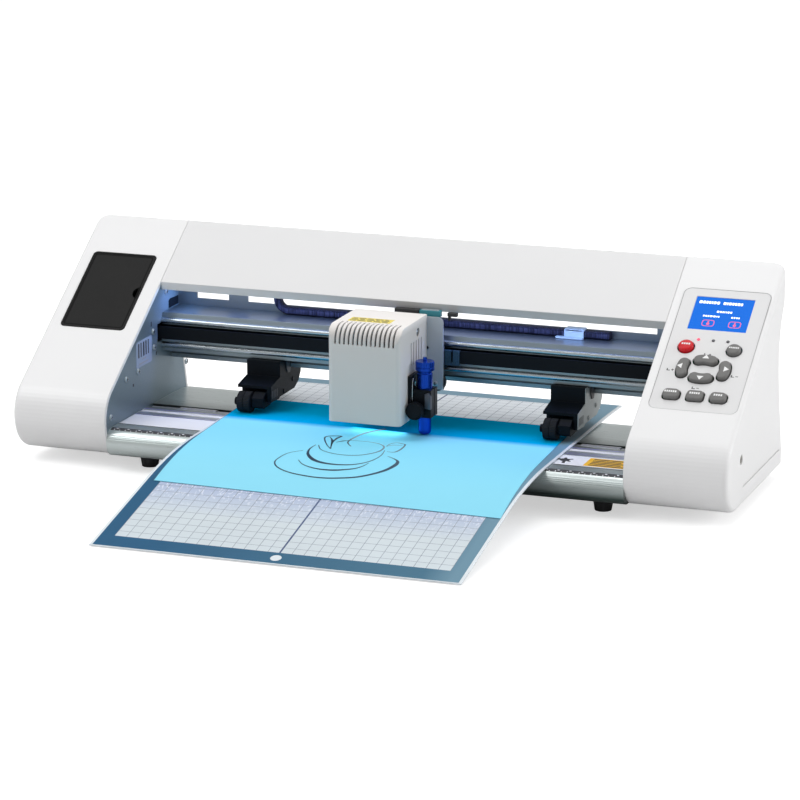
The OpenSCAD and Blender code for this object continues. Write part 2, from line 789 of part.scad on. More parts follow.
module depth_cap() {
    notches = 24;
    color("royalblue") difference() {
        translate([blade_x, nose_y + blade_y, 0]) rotate_extrude() polygon([[0, 93.5],
            [7.4, 93.5], [8, 94.1], [8, 96.2], [7.6, 96.5], [7.6, 96.9], [8, 97.2], [8, 101],
            [7.4, 101.6], [1.7, 101.6], [1.7, 104.7], [0, 104.7]]);
        for (i = [0:notches - 1]) translate([blade_x, nose_y + blade_y, 97])
            rotate(i * 360 / notches) translate([8.1, 0, 0]) cylinder(h = 5, r = 0.35, $fn = 16);
    }
}

module blade() {
    color("lightgray") translate([blade_x, nose_y + blade_y, 0]) {
        translate([0, 0, 46.1]) cylinder(h = 46, r = 2.5);
        translate([0, 0, 39.4]) cylinder(h = 6.8, r = 1.2);
        translate([0, 0, 38.35]) cylinder(h = 1.05, r1 = 0.2, r2 = 1.2);
    }
}

// ---------- pinch rollers ----------

// Block that slides on the beam's lower rail, with a hood over the wheel, two cheeks beside
// the arm and the arm's pivot pin
module pinch_block(x) {
    cheek = 3.5;
    rear = [[158, 68], [158, 75.8], [166.5, 66], [166.5, 60], [161, 52.5], [151, 47.8]];
    color([0.12, 0.12, 0.13]) {
        along_x(x, pinch_w) difference() {
            polygon([[96, 59], [96, 61.4], [117, 65.5], [117, 78.6], [122.2, 78.6], [128.4, 77.1],
                [143, 76], [158, 75.8], [166.5, 66], [166.5, 60], [164, 58], [117, 58], [117, 59]]);
            polygon([[143.4, 78], [143.4, 73], [140.6, 73], [140.6, 68.6], [151.4, 68.6],
                [151.4, 73], [148.6, 73], [148.6, 78]]);
        }
        along_x(x, cheek) polygon(concat([[105.5, 48], [105.5, 60], [117, 65]], rear));
        along_x(x + pinch_w - cheek, cheek) difference() {
            polygon(concat([[117, 47.8], [114, 46.4], [96, 47.5], [96, 61.4], [117, 65.5]], rear));
            // Slots low at the front of the cheek
            for (i = [0:3]) translate([99 + 3.4 * i, 50]) square([1.4, 7]);
        }
        bar_x([x + cheek, x + pinch_w - cheek], pivot_y, pivot_z, 2);
    }
}

// Arm with its wheel axle at the front and its finger lever at the rear
module pinch_arm(x) {
    top = 56.3;
    color([0.1, 0.1, 0.11]) difference() {
        union() {
            along_x(x + 15.6, 10.3) polygon([[89, 44.5], [89, 52], [95, top], [131, top],
                [131, 46.5], [104, 43.5], [91, 43]]);
            block([x + 4.1, x + 25.9], [106, 131], [46.5, top]);
            block([x + 9, x + 21], [131, 170], [50.5, 55]);
            bar_x([x, x + 16], roller_y, pinch_z, 2);
            bar_x([x - 1.2, x + 1.4], roller_y, pinch_z, 3.4);
        }
        bar_x([x, x + pinch_w], pivot_y, pivot_z, 2 + run_gap);
    }
}

module pinch_wheel(x) {
    color([0.05, 0.05, 0.05]) difference() {
        union() {
            bar_x([x + 2.6, x + 14.2], roller_y, pinch_z, pinch_r);
            bar_x([x + 1.6, x + 15.4], roller_y, pinch_z, 4.5);
        }
        bar_x([x, x + 16], roller_y, pinch_z, 2 + run_gap);
        for (side = [x + 1.5, x + 13.5]) difference() {
            bar_x([side, side + 1.8], roller_y, pinch_z, 7);
            bar_x([side - 1, side + 3], roller_y, pinch_z, 4.5);
        }
    }
}

module pinch_block_left() { pinch_block(pinch_left_x); }
module pinch_arm_left() { pinch_arm(pinch_left_x); }
module pinch_wheel_left() { pinch_wheel(pinch_left_x); }
module pinch_block_right() { pinch_block(pinch_right_x); }
module pinch_arm_right() { pinch_arm(pinch_right_x); }
module pinch_wheel_right() { pinch_wheel(pinch_right_x); }

// ---------- head cable ----------

module cable_sleeve() {
    color([0.1, 0.1, 0.12]) {
        block([loop_x, 170], [sleeve_y, sleeve_y + sleeve_w], [sleeve_z, sleeve_z + sleeve_t]);
        // Clip over the sleeve
        block([131, 148], [sleeve_y - 1.4, sleeve_y + sleeve_w], [sleeve_z, sleeve_z + sleeve_t + 1.4]);
        block([124, 148], [sleeve_y - 4.5, sleeve_y + 1], [sleeve_z, sleeve_z + 1.3]);
    }
}

module cable_loop() {
    r = loop_z - sleeve_z;
    color([0.1, 0.1, 0.12]) {
        intersection() {
            difference() {
                bar_y(loop_x, [sleeve_y, sleeve_y + sleeve_w], loop_z, r);
                bar_y(loop_x, [sleeve_y - 1, sleeve_y + sleeve_w + 1], loop_z, r - sleeve_t);
            }
            block([loop_x - r - 1, loop_x], [sleeve_y - 1, sleeve_y + sleeve_w + 1],
                [loop_z - r - 1, loop_z + r + 1]);
        }
        block([loop_x, 8], [sleeve_y, sleeve_y + sleeve_w], [loop_z + r - sleeve_t, loop_z + r]);
    }
}

// ---------- fasteners ----------

module screws() {
    head_r = 3;
    color("silver") {
        for (p = [[132.8, 129], [103.4, 99.7], [104.9, 85.6], [44.9, 70.6], [70.1, 71.8],
                [174.4, 57.2], [12, 45.2]])
            for (x = [[-inner_x, -inner_x + 1.5], [inner_x - 1.5, inner_x]])
                bar_x(x, p[0], p[1], head_r);
    }
}

// ---------- media ----------

// Lower face of the mat from its front edge to its rear edge, raised by h along the normal
function mat_line(h) = let (
    base = platen_h + mat_gap,
    front = arc([flat_from, base - drop_r], drop_r + h, 90 + drop_a, 90, 16),
    rear = arc([flat_to, base - rear_r], rear_r + h, 90, 90 - rear_a, 12))
    concat([front[0] - straight * [cos(drop_a), sin(drop_a)]], front, rear);

module cutting_mat() {
    color("lightsteelblue") along_x(mat_x - mat_w / 2, mat_w)
        polygon(concat(mat_line(0), reversed(mat_line(mat_t))));
}

module vinyl_sheet() {
    keep = [-92, 142];
    color("skyblue") intersection() {
        along_x(vinyl_x - vinyl_w / 2, vinyl_w)
            polygon(concat(mat_line(mat_t), reversed(mat_line(mat_t + vinyl_t))));
        block([-200, 200], keep, [0, 60]);
    }
}

left_housing();
right_housing();
left_side_plate();
right_side_plate();
top_cover();
beam();
guide_rods();
cable_rail();
platen();
cutting_strip();
rubber_feet();
control_panel();
display();
circuit_boards();
power_supply();
rear_sockets();
power_rocker();
key("reset", "red");  // reset_key
key("origin", "gray");  // origin_key
key("up", "gray");  // up_key
key("left", "gray");  // left_key
key("right", "gray");  // right_key
key("down", "gray");  // down_key
key("mode", "gray");  // mode_key
key("setup", "gray");  // setup_key
key("test", "gray");  // test_key
storage_tray();
tray_lid();
carriage_motor();
drive_pulley();
idler_pulley();
belt_brackets();
carriage_belt();
feed_motor();
feed_pulley();
feed_belt();
grit_roller();
roller_bearings();
carriage_plate();
guide_shoes();
belt_clamps();
head_cover();
head_back();
lift_motor();
holder_clamp();
clamp_knob();
blade_holder();
depth_cap();
blade();
pinch_block_left();
pinch_arm_left();
pinch_wheel_left();
pinch_block_right();
pinch_arm_right();
pinch_wheel_right();
cable_sleeve();
cable_loop();
screws();
cutting_mat();
vinyl_sheet();
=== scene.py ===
import json
import math

import bmesh
import bpy
from mathutils import Matrix, Vector

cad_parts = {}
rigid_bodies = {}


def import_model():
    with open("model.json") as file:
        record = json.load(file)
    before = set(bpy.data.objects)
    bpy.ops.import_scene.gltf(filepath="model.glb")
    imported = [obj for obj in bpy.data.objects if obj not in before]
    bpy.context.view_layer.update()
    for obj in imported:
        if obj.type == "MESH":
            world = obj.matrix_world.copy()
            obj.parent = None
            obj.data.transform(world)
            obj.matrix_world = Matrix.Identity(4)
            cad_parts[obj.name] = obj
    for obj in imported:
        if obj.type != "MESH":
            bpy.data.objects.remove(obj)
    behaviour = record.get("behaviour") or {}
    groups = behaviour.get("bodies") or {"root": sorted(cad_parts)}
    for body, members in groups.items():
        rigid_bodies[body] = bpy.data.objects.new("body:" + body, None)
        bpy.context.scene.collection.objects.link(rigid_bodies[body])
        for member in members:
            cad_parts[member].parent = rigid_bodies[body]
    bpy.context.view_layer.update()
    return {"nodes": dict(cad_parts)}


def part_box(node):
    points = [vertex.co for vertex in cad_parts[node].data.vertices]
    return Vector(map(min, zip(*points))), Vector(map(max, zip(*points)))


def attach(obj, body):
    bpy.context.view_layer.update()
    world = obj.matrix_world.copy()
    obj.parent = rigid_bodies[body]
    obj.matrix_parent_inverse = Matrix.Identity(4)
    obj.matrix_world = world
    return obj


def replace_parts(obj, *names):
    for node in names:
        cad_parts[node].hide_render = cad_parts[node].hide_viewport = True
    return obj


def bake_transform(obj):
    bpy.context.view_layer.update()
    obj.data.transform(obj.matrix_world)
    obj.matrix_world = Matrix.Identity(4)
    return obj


for old in list(bpy.data.objects):
    bpy.data.objects.remove(old)
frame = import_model()
nodes = frame["nodes"]

# ---------- places shared with the CAD ----------

MM = 0.001
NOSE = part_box("left_housing")[0].y
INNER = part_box("right_side_plate")[0].x / MM
SLANT = math.radians(33.74)
SLOPE_FOOT = (14.448, 68.925)  # depth and height where the slanted front leaves the round nose
PLATEN_H = 36.5


def at(x, depth, z):
    """A point in metres from millimetres, with depth counted from the nose of the housings."""
    return Vector((x * MM, NOSE + depth * MM, z * MM))


def frame_of(origin, right, up):
    """Matrix from local millimetres to metres, with +Z pointing out of the plane of right and up."""
    out = right.cross(up)
    rows = [[right[i] * MM, up[i] * MM, out[i] * MM, origin[i]] for i in range(3)]
    return Matrix(rows + [[0, 0, 0, 1]])


def slope(x, s):
    """Frame on the slanted front: +Y up the slope from distance s, +Z out of it."""
    up = Vector((0, math.cos(SLANT), math.sin(SLANT)))
    return frame_of(at(x, *SLOPE_FOOT) + up * s * MM, X, up)


X, Y, Z = Vector((1, 0, 0)), Vector((0, 1, 0)), Vector((0, 0, 1))
PANEL = slope(271.3, 101)
TRAY = slope(-270.5, 113.5)
FLAT = frame_of(at(0, 0, 0), X, Y)

# ---------- camera ----------

AZ, EL, FAR = math.radians(19.74), math.radians(14.31), 2.9954
AIM = at(-4.46, 116.46, 54.6)
back = Vector((math.sin(AZ) * math.cos(EL), -math.cos(AZ) * math.cos(EL), math.sin(EL)))
camera_data = bpy.data.cameras.new("camera")
camera_data.lens = 158.3
camera_data.sensor_width = 36
camera_data.clip_end = 50
camera = bpy.data.objects.new("camera", camera_data)
bpy.context.scene.collection.objects.link(camera)
camera.location = AIM + back * FAR
camera.rotation_euler = back.to_track_quat("Z", "Y").to_euler()
bpy.context.scene.camera = camera

# ---------- materials ----------


def mix(tree, factor, a, b):
    """A colour between a and b; each argument is a value or another node's output."""
    node = tree.nodes.new("ShaderNodeMix")
    node.data_type = "RGBA"
    for socket, value in ((node.inputs[0], factor), (node.inputs[6], a), (node.inputs[7], b)):
        if hasattr(value, "is_output"):
            tree.links.new(value, socket)
        elif hasattr(value, "__len__"):
            socket.default_value = (*value, 1)
        else:
            socket.default_value = value
    return node.outputs[2]


def math_node(tree, operation, a, b=0.0, c=0.0):
    """One arithmetic step on values or other nodes' outputs."""
    node = tree.nodes.new("ShaderNodeMath")
    node.operation = operation
    for socket, value in zip(node.inputs, (a, b, c)):
        if hasattr(value, "is_output"):
            tree.links.new(value, socket)
        else:
            socket.default_value = value
    return node.outputs[0]


def noise(tree, vector, scale, detail=2.0, stretch=(1, 1, 1)):
    """Noise from 0 to 1, drawn out along an axis where stretch is small."""
    mapping = tree.nodes.new("ShaderNodeMapping")
    mapping.inputs["Scale"].default_value = stretch
    tree.links.new(vector, mapping.inputs["Vector"])
    node = tree.nodes.new("ShaderNodeTexNoise")
    node.inputs["Scale"].default_value = scale
    node.inputs["Detail"].default_value = detail
    tree.links.new(mapping.outputs[0], node.inputs["Vector"])
    return node.outputs["Fac"]


def spread(tree, value, low, high):
    """Maps the usual range of a noise onto low to high."""
    node = tree.nodes.new("ShaderNodeMapRange")
    tree.links.new(value, node.inputs["Value"])
    node.inputs["From Min"].default_value = 0.3
    node.inputs["From Max"].default_value = 0.7
    node.inputs["To Min"].default_value = low
    node.inputs["To Max"].default_value = high
    return node.outputs[0]


def material(name, color, rough=0.4, metal=0.0, grain=900, bump=0.08, depth=0.00004, mottle=0.03,
             brushed=None, glow=None, glow_power=0.0, edge=0.0, spec=0.5, pattern=None):
    """A procedural material: colour and roughness vary a little, and a fine grain raises the surface.

    mottle is the share by which the colour varies, grain the scale of the fine noise, edge the
    radius in millimetres that edges are shaded with, and pattern a function that changes the
    colour further.
    """
    made = bpy.data.materials.new(name)
    made.use_nodes = True
    tree = made.node_tree
    shader = tree.nodes["Principled BSDF"]
    place = tree.nodes.new("ShaderNodeTexCoord").outputs["Object"]
    broad = noise(tree, place, 14, 3)
    fine = noise(tree, place, grain, 2, brushed or (1, 1, 1))
    darker = tuple(c * (1 - mottle) for c in color)
    lighter = tuple(min(1, c * (1 + mottle)) for c in color)
    shade = mix(tree, spread(tree, broad, 0, 1), darker, lighter)
    if pattern:
        shade = pattern(tree, place, shade)
    tree.links.new(shade, shader.inputs["Base Color"])
    tree.links.new(spread(tree, fine, max(0.02, rough - 0.05), min(1, rough + 0.05)),
                   shader.inputs["Roughness"])
    shader.inputs["Metallic"].default_value = metal
    shader.inputs["Specular IOR Level"].default_value = spec
    raised = tree.nodes.new("ShaderNodeBump")
    raised.inputs["Strength"].default_value = bump
    raised.inputs["Distance"].default_value = depth
    tree.links.new(fine, raised.inputs["Height"])
    if edge:
        soft = tree.nodes.new("ShaderNodeBevel")
        soft.samples = 4
        soft.inputs["Radius"].default_value = edge * MM
        tree.links.new(soft.outputs[0], raised.inputs["Normal"])
    tree.links.new(raised.outputs[0], shader.inputs["Normal"])
    if glow:
        shader.inputs["Emission Color"].default_value = (*glow, 1)
        shader.inputs["Emission Strength"].default_value = glow_power
    return made


BRUSH_X = (0.02, 1, 1)


def weave(tree, place, shade):
    """Crossing yarns of a braided sleeve, as small light specks on black."""
    turned = tree.nodes.new("ShaderNodeMapping")
    turned.inputs["Rotation"].default_value = (0, 0, math.radians(45))
    tree.links.new(place, turned.inputs["Vector"])
    check = tree.nodes.new("ShaderNodeTexBrick")
    check.inputs["Scale"].default_value = 420
    check.inputs["Color1"].default_value = (0.008, 0.009, 0.016, 1)
    check.inputs["Color2"].default_value = (0.07, 0.08, 0.14, 1)
    check.inputs["Mortar"].default_value = (0.003, 0.003, 0.006, 1)
    check.inputs["Mortar Size"].default_value = 0.06
    tree.links.new(turned.outputs[0], check.inputs["Vector"])
    return mix(tree, 0.85, shade, check.outputs["Color"])


def ramp(tree, place, axis, near, far):
    """0 to 1 between two places along an axis, with depths counted from the nose."""
    parts = tree.nodes.new("ShaderNodeSeparateXYZ")
    tree.links.new(place, parts.inputs[0])
    node = tree.nodes.new("ShaderNodeMapRange")
    tree.links.new(parts.outputs[axis], node.inputs["Value"])
    start = NOSE if axis == 1 else 0
    node.inputs["From Min"].default_value = start + near * MM
    node.inputs["From Max"].default_value = start + far * MM
    return node.outputs[0]


def painted_platen_shade(tree, place, shade):
    """Painted shade: the rounded front darkens downwards, more so to the right, and a painted reflection
    of the beam darkens the top by the strip.
    """
    # painted shade on the rounded front, heavier to the right
    amount = math_node(tree, "MULTIPLY", ramp(tree, place, 2, 31, 18), ramp(tree, place, 0, -260, 160))
    shade = mix(tree, amount, shade, (0.05, 0.075, 0.07))
    # painted reflection of the beam: a dark band on the top behind the strip
    amount = math_node(tree, "MULTIPLY", ramp(tree, place, 1, 122, 98), ramp(tree, place, 1, 82, 84))
    return mix(tree, math_node(tree, "MULTIPLY", amount, 0.7), shade, (0.16, 0.19, 0.18))


def painted_vinyl_shade(tree, place, shade):
    """Painted shade: the vinyl turns deeper blue towards the cover."""
    shade = mix(tree, ramp(tree, place, 1, -60, 62), shade, (0.24, 0.68, 0.88))
    return mix(tree, ramp(tree, place, 1, 66, 77), shade, (0.0, 0.35, 0.63))


def painted_border_light(tree, place, shade):
    """Painted light: the mat's border is paler to the right and at the rear."""
    shade = mix(tree, ramp(tree, place, 0, -100, 120), shade, (0.06, 0.165, 0.25))
    shade = mix(tree, ramp(tree, place, 0, 126, 150), shade, (0.15, 0.28, 0.37))
    return mix(tree, ramp(tree, place, 1, 120, 200), shade, (0.19, 0.33, 0.43))


def painted_mat_shading(tree, place, shade):
    """Painted light and shade: paler at the rear, with a painted lavender shade and pale dashes just in
    front of the vinyl.
    """
    zone = math_node(tree, "MULTIPLY", ramp(tree, place, 1, -142, -94), ramp(tree, place, 1, 60, 50))
    dash = noise(tree, place, 520, 1, (1.0, 0.35, 1))
    # painted light: paler towards the rear
    shade = mix(tree, ramp(tree, place, 1, 90, 150), shade, (0.88, 0.93, 0.98))
    # painted shade: lavender just in front of the vinyl
    shade = mix(tree, math_node(tree, "MULTIPLY", zone, 0.8), shade, (0.36, 0.44, 0.66))
    bright = math_node(tree, "GREATER_THAN", dash, 0.60)
    return mix(tree, math_node(tree, "MULTIPLY", math_node(tree, "MULTIPLY", zone, bright), 0.6),
               shade, (0.85, 0.88, 0.95))


def lit_top(tree, place, shade):
    """Painted highlight: the top of the head is paler than its faces."""
    return mix(tree, ramp(tree, place, 2, 127, 133), shade, (0.86, 0.83, 0.81))


def painted_light_left(tree, place, shade):
    """Painted light: the band under the cover's edge is paler to the left."""
    return mix(tree, ramp(tree, place, 0, -20, -200), shade, (0.72, 0.72, 0.72))


def grit(tree, place, shade):
    """Bright specks of grit on the feed roller."""
    speck = noise(tree, place, 2600, 1)
    return mix(tree, spread(tree, speck, 0, 0.6), shade, (0.8, 0.8, 0.82))


white = material("housing_white", (0.83, 0.83, 0.835), 0.36, grain=1500, bump=0.05, mottle=0.008,
                 edge=1.4)
cover_white = material("cover_white", (0.755, 0.755, 0.76), 0.38, grain=1500, bump=0.05,
                       mottle=0.008, edge=0.5)
plate_metal = material("plate_metal", (0.20, 0.265, 0.315), 0.40, 0.6, 700, 0.12, mottle=0.05,
                       edge=0.3)
beam_alu = material("beam_alu", (0.25, 0.30, 0.325), 0.36, 0.9, 2400, 0.08, mottle=0.03,
                    brushed=BRUSH_X, edge=0.4)
# its pattern paints shade and a reflection on the platen
platen_alu = material("platen_alu", (0.60, 0.66, 0.655), 0.32, 0.85, 2400, 0.06, mottle=0.03,
                      brushed=BRUSH_X, edge=0.3, pattern=painted_platen_shade)
rod_steel = material("rod_steel", (0.44, 0.49, 0.52), 0.26, 1.0, 2600, 0.06, brushed=BRUSH_X)
zinc = material("zinc", (0.44, 0.50, 0.54), 0.32, 0.9, 1200, 0.1, mottle=0.06, edge=0.15)
cream = material("strip_cream", (0.70, 0.69, 0.66), 0.6, grain=1300, mottle=0.05)
rubber = material("foot_rubber", (0.018, 0.018, 0.02), 0.7, grain=1600, bump=0.2, mottle=0.2,
                  edge=0.6)
panel_grey = material("panel_grey", (0.74, 0.74, 0.745), 0.42, grain=2200, bump=0.08,
                      mottle=0.01, edge=0.3)
lcd_blue = material("lcd_blue", (0.0, 0.03, 0.16), 0.25, spec=0.05, glow=(0.008, 0.19, 0.88),
                    glow_power=0.75)
board_green = material("board_green", (0.02, 0.16, 0.07), 0.45, grain=1200, mottle=0.2)
supply_metal = material("supply_metal", (0.5, 0.51, 0.53), 0.4, 0.8, 1200, edge=0.3)
socket_black = material("socket_black", (0.016, 0.016, 0.018), 0.45, grain=1800, edge=0.3)
rocker_red = material("rocker_red", (0.55, 0.02, 0.015), 0.3, grain=1200, edge=0.4)
key_red = material("key_red", (0.62, 0.012, 0.02), 0.28, grain=1500, bump=0.04, mottle=0.05,
                   spec=0.25)
key_grey = material("key_grey", (0.165, 0.163, 0.16), 0.42, spec=0.3, grain=2200, bump=0.1,
                    mottle=0.05)
ink_white = material("ink_white", (0.86, 0.86, 0.86), 0.5, grain=1500, mottle=0.02)
ink_dark = material("ink_dark", (0.03, 0.03, 0.035), 0.5, grain=1500, mottle=0.1)
ink_grey = material("ink_grey", (0.30, 0.30, 0.31), 0.5, grain=1500, mottle=0.1)
tray_black = material("tray_black", (0.014, 0.014, 0.014), 0.32, grain=1800, bump=0.05,
                      mottle=0.1, spec=0.18, edge=0.3)
tray_gap = material("tray_gap", (0.004, 0.004, 0.004), 0.5, grain=1800, mottle=0.1, spec=0.1)
motor_dark = material("motor_dark", (0.05, 0.05, 0.055), 0.4, 0.5, 900, mottle=0.15, edge=0.4)
pulley_alu = material("pulley_alu", (0.68, 0.69, 0.71), 0.3, 1.0, 1400, brushed=(1, 1, 0.02))
belt_black = material("belt_rubber", (0.006, 0.008, 0.011), 0.6, grain=1500, bump=0.15,
                      mottle=0.2, spec=0.1)
roller_steel = material("roller_steel", (0.42, 0.43, 0.45), 0.42, 0.8, 2600, 0.3, mottle=0.08,
                        pattern=grit)
carriage_black = material("carriage_black", (0.03, 0.03, 0.035), 0.4, 0.4, 1200, mottle=0.12,
                          edge=0.3)
shoe_dark = material("shoe_plastic", (0.06, 0.06, 0.065), 0.5, grain=1200, mottle=0.1, edge=0.3)
# its pattern paints a highlight on the top of the head
head_grey = material("head_grey", (0.61, 0.585, 0.565), 0.42, grain=2600, bump=0.16, mottle=0.012,
                     edge=0.9, pattern=lit_top)
head_back_grey = material("head_back_grey", (0.42, 0.46, 0.50), 0.42, 0.35, 1500, 0.08,
                          mottle=0.03, edge=0.4)
clamp_black = material("clamp_black", (0.005, 0.007, 0.010), 0.38, grain=1600, bump=0.12,
                       mottle=0.15, spec=0.12, edge=0.5)
holder_blue = material("holder_blue", (0.004, 0.055, 0.42), 0.24, 0.8, 2400, 0.05, mottle=0.06,
                       brushed=(1, 1, 0.03), edge=0.2)
blade_steel = material("blade_steel", (0.75, 0.76, 0.78), 0.2, 1.0, 1800, 0.05)
pinch_black = material("pinch_black", (0.004, 0.006, 0.009), 0.42, grain=1600, bump=0.14,
                       mottle=0.2, spec=0.08, edge=0.5)
wheel_rubber = material("wheel_rubber", (0.008, 0.010, 0.013), 0.62, grain=1800, bump=0.25,
                        mottle=0.2, spec=0.2)
sleeve_black = material("sleeve_black", (0.006, 0.007, 0.012), 0.62, grain=2200, bump=0.5,
                        depth=0.0003, mottle=0.3, spec=0.12, pattern=weave)
# its pattern paints shade on the vinyl, deeper blue towards the cover
vinyl_cyan = material("vinyl_cyan", (0.27, 0.69, 0.86), 0.4, grain=500, bump=0.03, mottle=0.012,
                      spec=0.0, pattern=painted_vinyl_shade)
# its pattern paints light at the rear and lavender shade in front of the vinyl
mat_field = material("mat_field", (0.62, 0.69, 0.73), 0.38, grain=2600, bump=0.10, mottle=0.03,
                     spec=0.4, pattern=painted_mat_shading)
# its pattern paints light on the border, paler to the right and at the rear
mat_border = material("mat_border", (0.018, 0.10, 0.205), 0.45, grain=2600, bump=0.12,
                      mottle=0.08, spec=0.15, pattern=painted_border_light)
mat_clear = material("mat_clear", (0.74, 0.80, 0.84), 0.22, grain=1800, bump=0.05, mottle=0.03)
label_white = material("label_white", (0.76, 0.77, 0.79), 0.5, grain=1800, mottle=0.02)
label_blue = material("label_blue", (0.27, 0.33, 0.43), 0.5, grain=1800, mottle=0.02)
label_yellow = material("label_yellow", (0.80, 0.66, 0.12), 0.5, grain=1800, mottle=0.06)
label_amber = material("label_amber", (0.83, 0.46, 0.02), 0.5, grain=1800, mottle=0.08)
teal = material("connector_teal", (0.03, 0.22, 0.27), 0.4, grain=1400, mottle=0.2, edge=0.3)
lens_red = material("lens_red", (0.75, 0.10, 0.16), 0.25, glow=(1.0, 0.12, 0.2), glow_power=0.5)
lens_dark = material("lens_dark", (0.10, 0.10, 0.11), 0.25)
screen_white = material("screen_white", (0.9, 0.95, 1.0), 0.3, glow=(0.85, 0.93, 1), glow_power=0.8)
screen_red = material("screen_red", (0.6, 0.08, 0.2), 0.3, glow=(0.75, 0.08, 0.2), glow_power=0.6)
led_glow = material("led_glow", (0.8, 0.85, 1.0), 0.4, glow=(0.45, 0.55, 1.0), glow_power=2.0)
# painted shade: grey for the white cover's shaded front band
painted_band_shade = material("painted_band_shade", (0.50, 0.495, 0.49), 0.4, grain=1500, mottle=0.02,
                     # its pattern paints light on the band, paler to the left
                     pattern=painted_light_left)
pinch_plate = material("pinch_plate", (0.34, 0.37, 0.37), 0.4, 0.5, 1200, mottle=0.1)
violet = material("violet_ink", (0.16, 0.13, 0.42), 0.5, grain=1500, mottle=0.2)
mat_line = material("mat_line", (0.20, 0.24, 0.31), 0.5, grain=1500, mottle=0.1)
mat_centre = material("mat_centre", (0.05, 0.085, 0.20), 0.5, grain=1500, mottle=0.1)
latch_grey = material("latch_grey", (0.06, 0.07, 0.09), 0.35, 0.2, 1400, mottle=0.1)
bronze = material("screw_bronze", (0.30, 0.27, 0.20), 0.35, 0.8, 1200, mottle=0.2)
clip_teal = material("clip_teal", (0.03, 0.075, 0.12), 0.3, 0.3, 1400, mottle=0.1, edge=0.2)
clip_blue = material("clip_blue", (0.30, 0.40, 0.42), 0.4, grain=1400, mottle=0.05)
edge_line = material("edge_line", (0.02, 0.14, 0.24), 0.45, grain=1200, mottle=0.2)
cut_line = material("cut_line", (0.003, 0.03, 0.07), 0.45, grain=1200, mottle=0.2)

SKINS = {
    white: ("left_housing", "right_housing"),
    cover_white: ("top_cover",),
    plate_metal: ("left_side_plate", "right_side_plate", "belt_brackets"),
    beam_alu: ("beam", "cable_rail"),
    platen_alu: ("platen",),
    rod_steel: ("guide_rods", "roller_bearings"),
    zinc: ("screws",),
    clip_teal: ("belt_clamps",),
    cream: ("cutting_strip",),
    rubber: ("rubber_feet",),
    panel_grey: ("control_panel",),
    lcd_blue: ("display",),
    board_green: ("circuit_boards",),
    supply_metal: ("power_supply",),
    socket_black: ("rear_sockets",),
    rocker_red: ("power_rocker",),
    key_red: ("reset_key",),
    key_grey: ("origin_key", "up_key", "left_key", "right_key", "down_key", "mode_key",
               "setup_key", "test_key"),
    tray_black: ("storage_tray", "tray_lid"),
    motor_dark: ("carriage_motor", "feed_motor", "lift_motor"),
    pulley_alu: ("drive_pulley", "idler_pulley", "feed_pulley"),
    belt_black: ("carriage_belt", "feed_belt"),
    roller_steel: ("grit_roller",),
    carriage_black: ("carriage_plate",),
    shoe_dark: ("guide_shoes",),
    head_grey: ("head_cover",),
    head_back_grey: ("head_back",),
    clamp_black: ("holder_clamp", "clamp_knob"),
    holder_blue: ("blade_holder", "depth_cap"),
    blade_steel: ("blade",),
    pinch_black: ("pinch_block_left", "pinch_arm_left", "pinch_block_right", "pinch_arm_right"),
    wheel_rubber: ("pinch_wheel_left", "pinch_wheel_right"),
    sleeve_black: ("cable_sleeve", "cable_loop"),
    mat_clear: ("cutting_mat",),
    vinyl_cyan: ("vinyl_sheet",),
}
for skin, names in SKINS.items():
    for name in names:
        for slot in nodes[name].material_slots:
            slot.material = skin

# ---------- mesh helpers ----------


def add(name, bm, skins, body, smooth=True, bevel=0.0):
    """Turns a bmesh in metres into a named piece, which rides on body if there is one."""
    bmesh.ops.recalc_face_normals(bm, faces=bm.faces)
    mesh = bpy.data.meshes.new(name)
    bm.to_mesh(mesh)
    bm.free()
    piece = bpy.data.objects.new(name, mesh)
    bpy.context.scene.collection.objects.link(piece)
    for skin in skins:
        mesh.materials.append(skin)
    if smooth:
        mesh.shade_smooth()
        mesh.set_sharp_from_angle(angle=math.radians(35))
    if bevel:
        rounding = piece.modifiers.new("rounding", "BEVEL")
        rounding.width = bevel * MM
        rounding.segments = 3
        rounding.limit_method = "ANGLE"
        rounding.angle_limit = math.radians(40)
        rounding.harden_normals = True
    if body:
        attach(piece, body)
    return piece


def bridge(bm, a, b, skin=0):
    """Joins two closed rings of vertices with a band of faces."""
    n = len(a)
    for i in range(n):
        bm.faces.new((a[i], a[(i + 1) % n], b[(i + 1) % n], b[i])).material_index = skin


def ladder(bm, rows, skin=0):
    """Joins rows of two vertices into an open ribbon."""
    for a, b in zip(rows, rows[1:]):
        bm.faces.new((a[0], a[1], b[1], b[0])).material_index = skin


def slab(bm, outline, place, low, high, skin=0, inset=0.0, crown=0):
    """Adds a closed prism of an outline to bm; its top edge may round over by inset in crown steps."""
    rings = [(low, 0.0), (high - inset, 0.0)]
    for i in range(1, crown + 1):
        turn = math.pi / 2 * i / crown
        rings.append((high - inset + inset * math.sin(turn), inset * (1 - math.cos(turn))))
    n = len(outline)
    loops = []
    for z, shrink in rings:
        loop = []
        for i, (x, y) in enumerate(outline):
            if shrink:
                ax, ay = outline[i - 1]
                bx, by = outline[(i + 1) % n]
                length = math.hypot(bx - ax, by - ay) or 1
                x, y = x - (by - ay) / length * shrink, y + (bx - ax) / length * shrink
            loop.append(bm.verts.new(place @ Vector((x, y, z))))
        loops.append(loop)
    bm.faces.new(list(reversed(loops[0]))).material_index = skin
    bm.faces.new(loops[-1]).material_index = skin
    for a, b in zip(loops, loops[1:]):
        bridge(bm, a, b, skin)


def rect(x0, x1, y0, y1):
    return [(x0, y0), (x1, y0), (x1, y1), (x0, y1)]


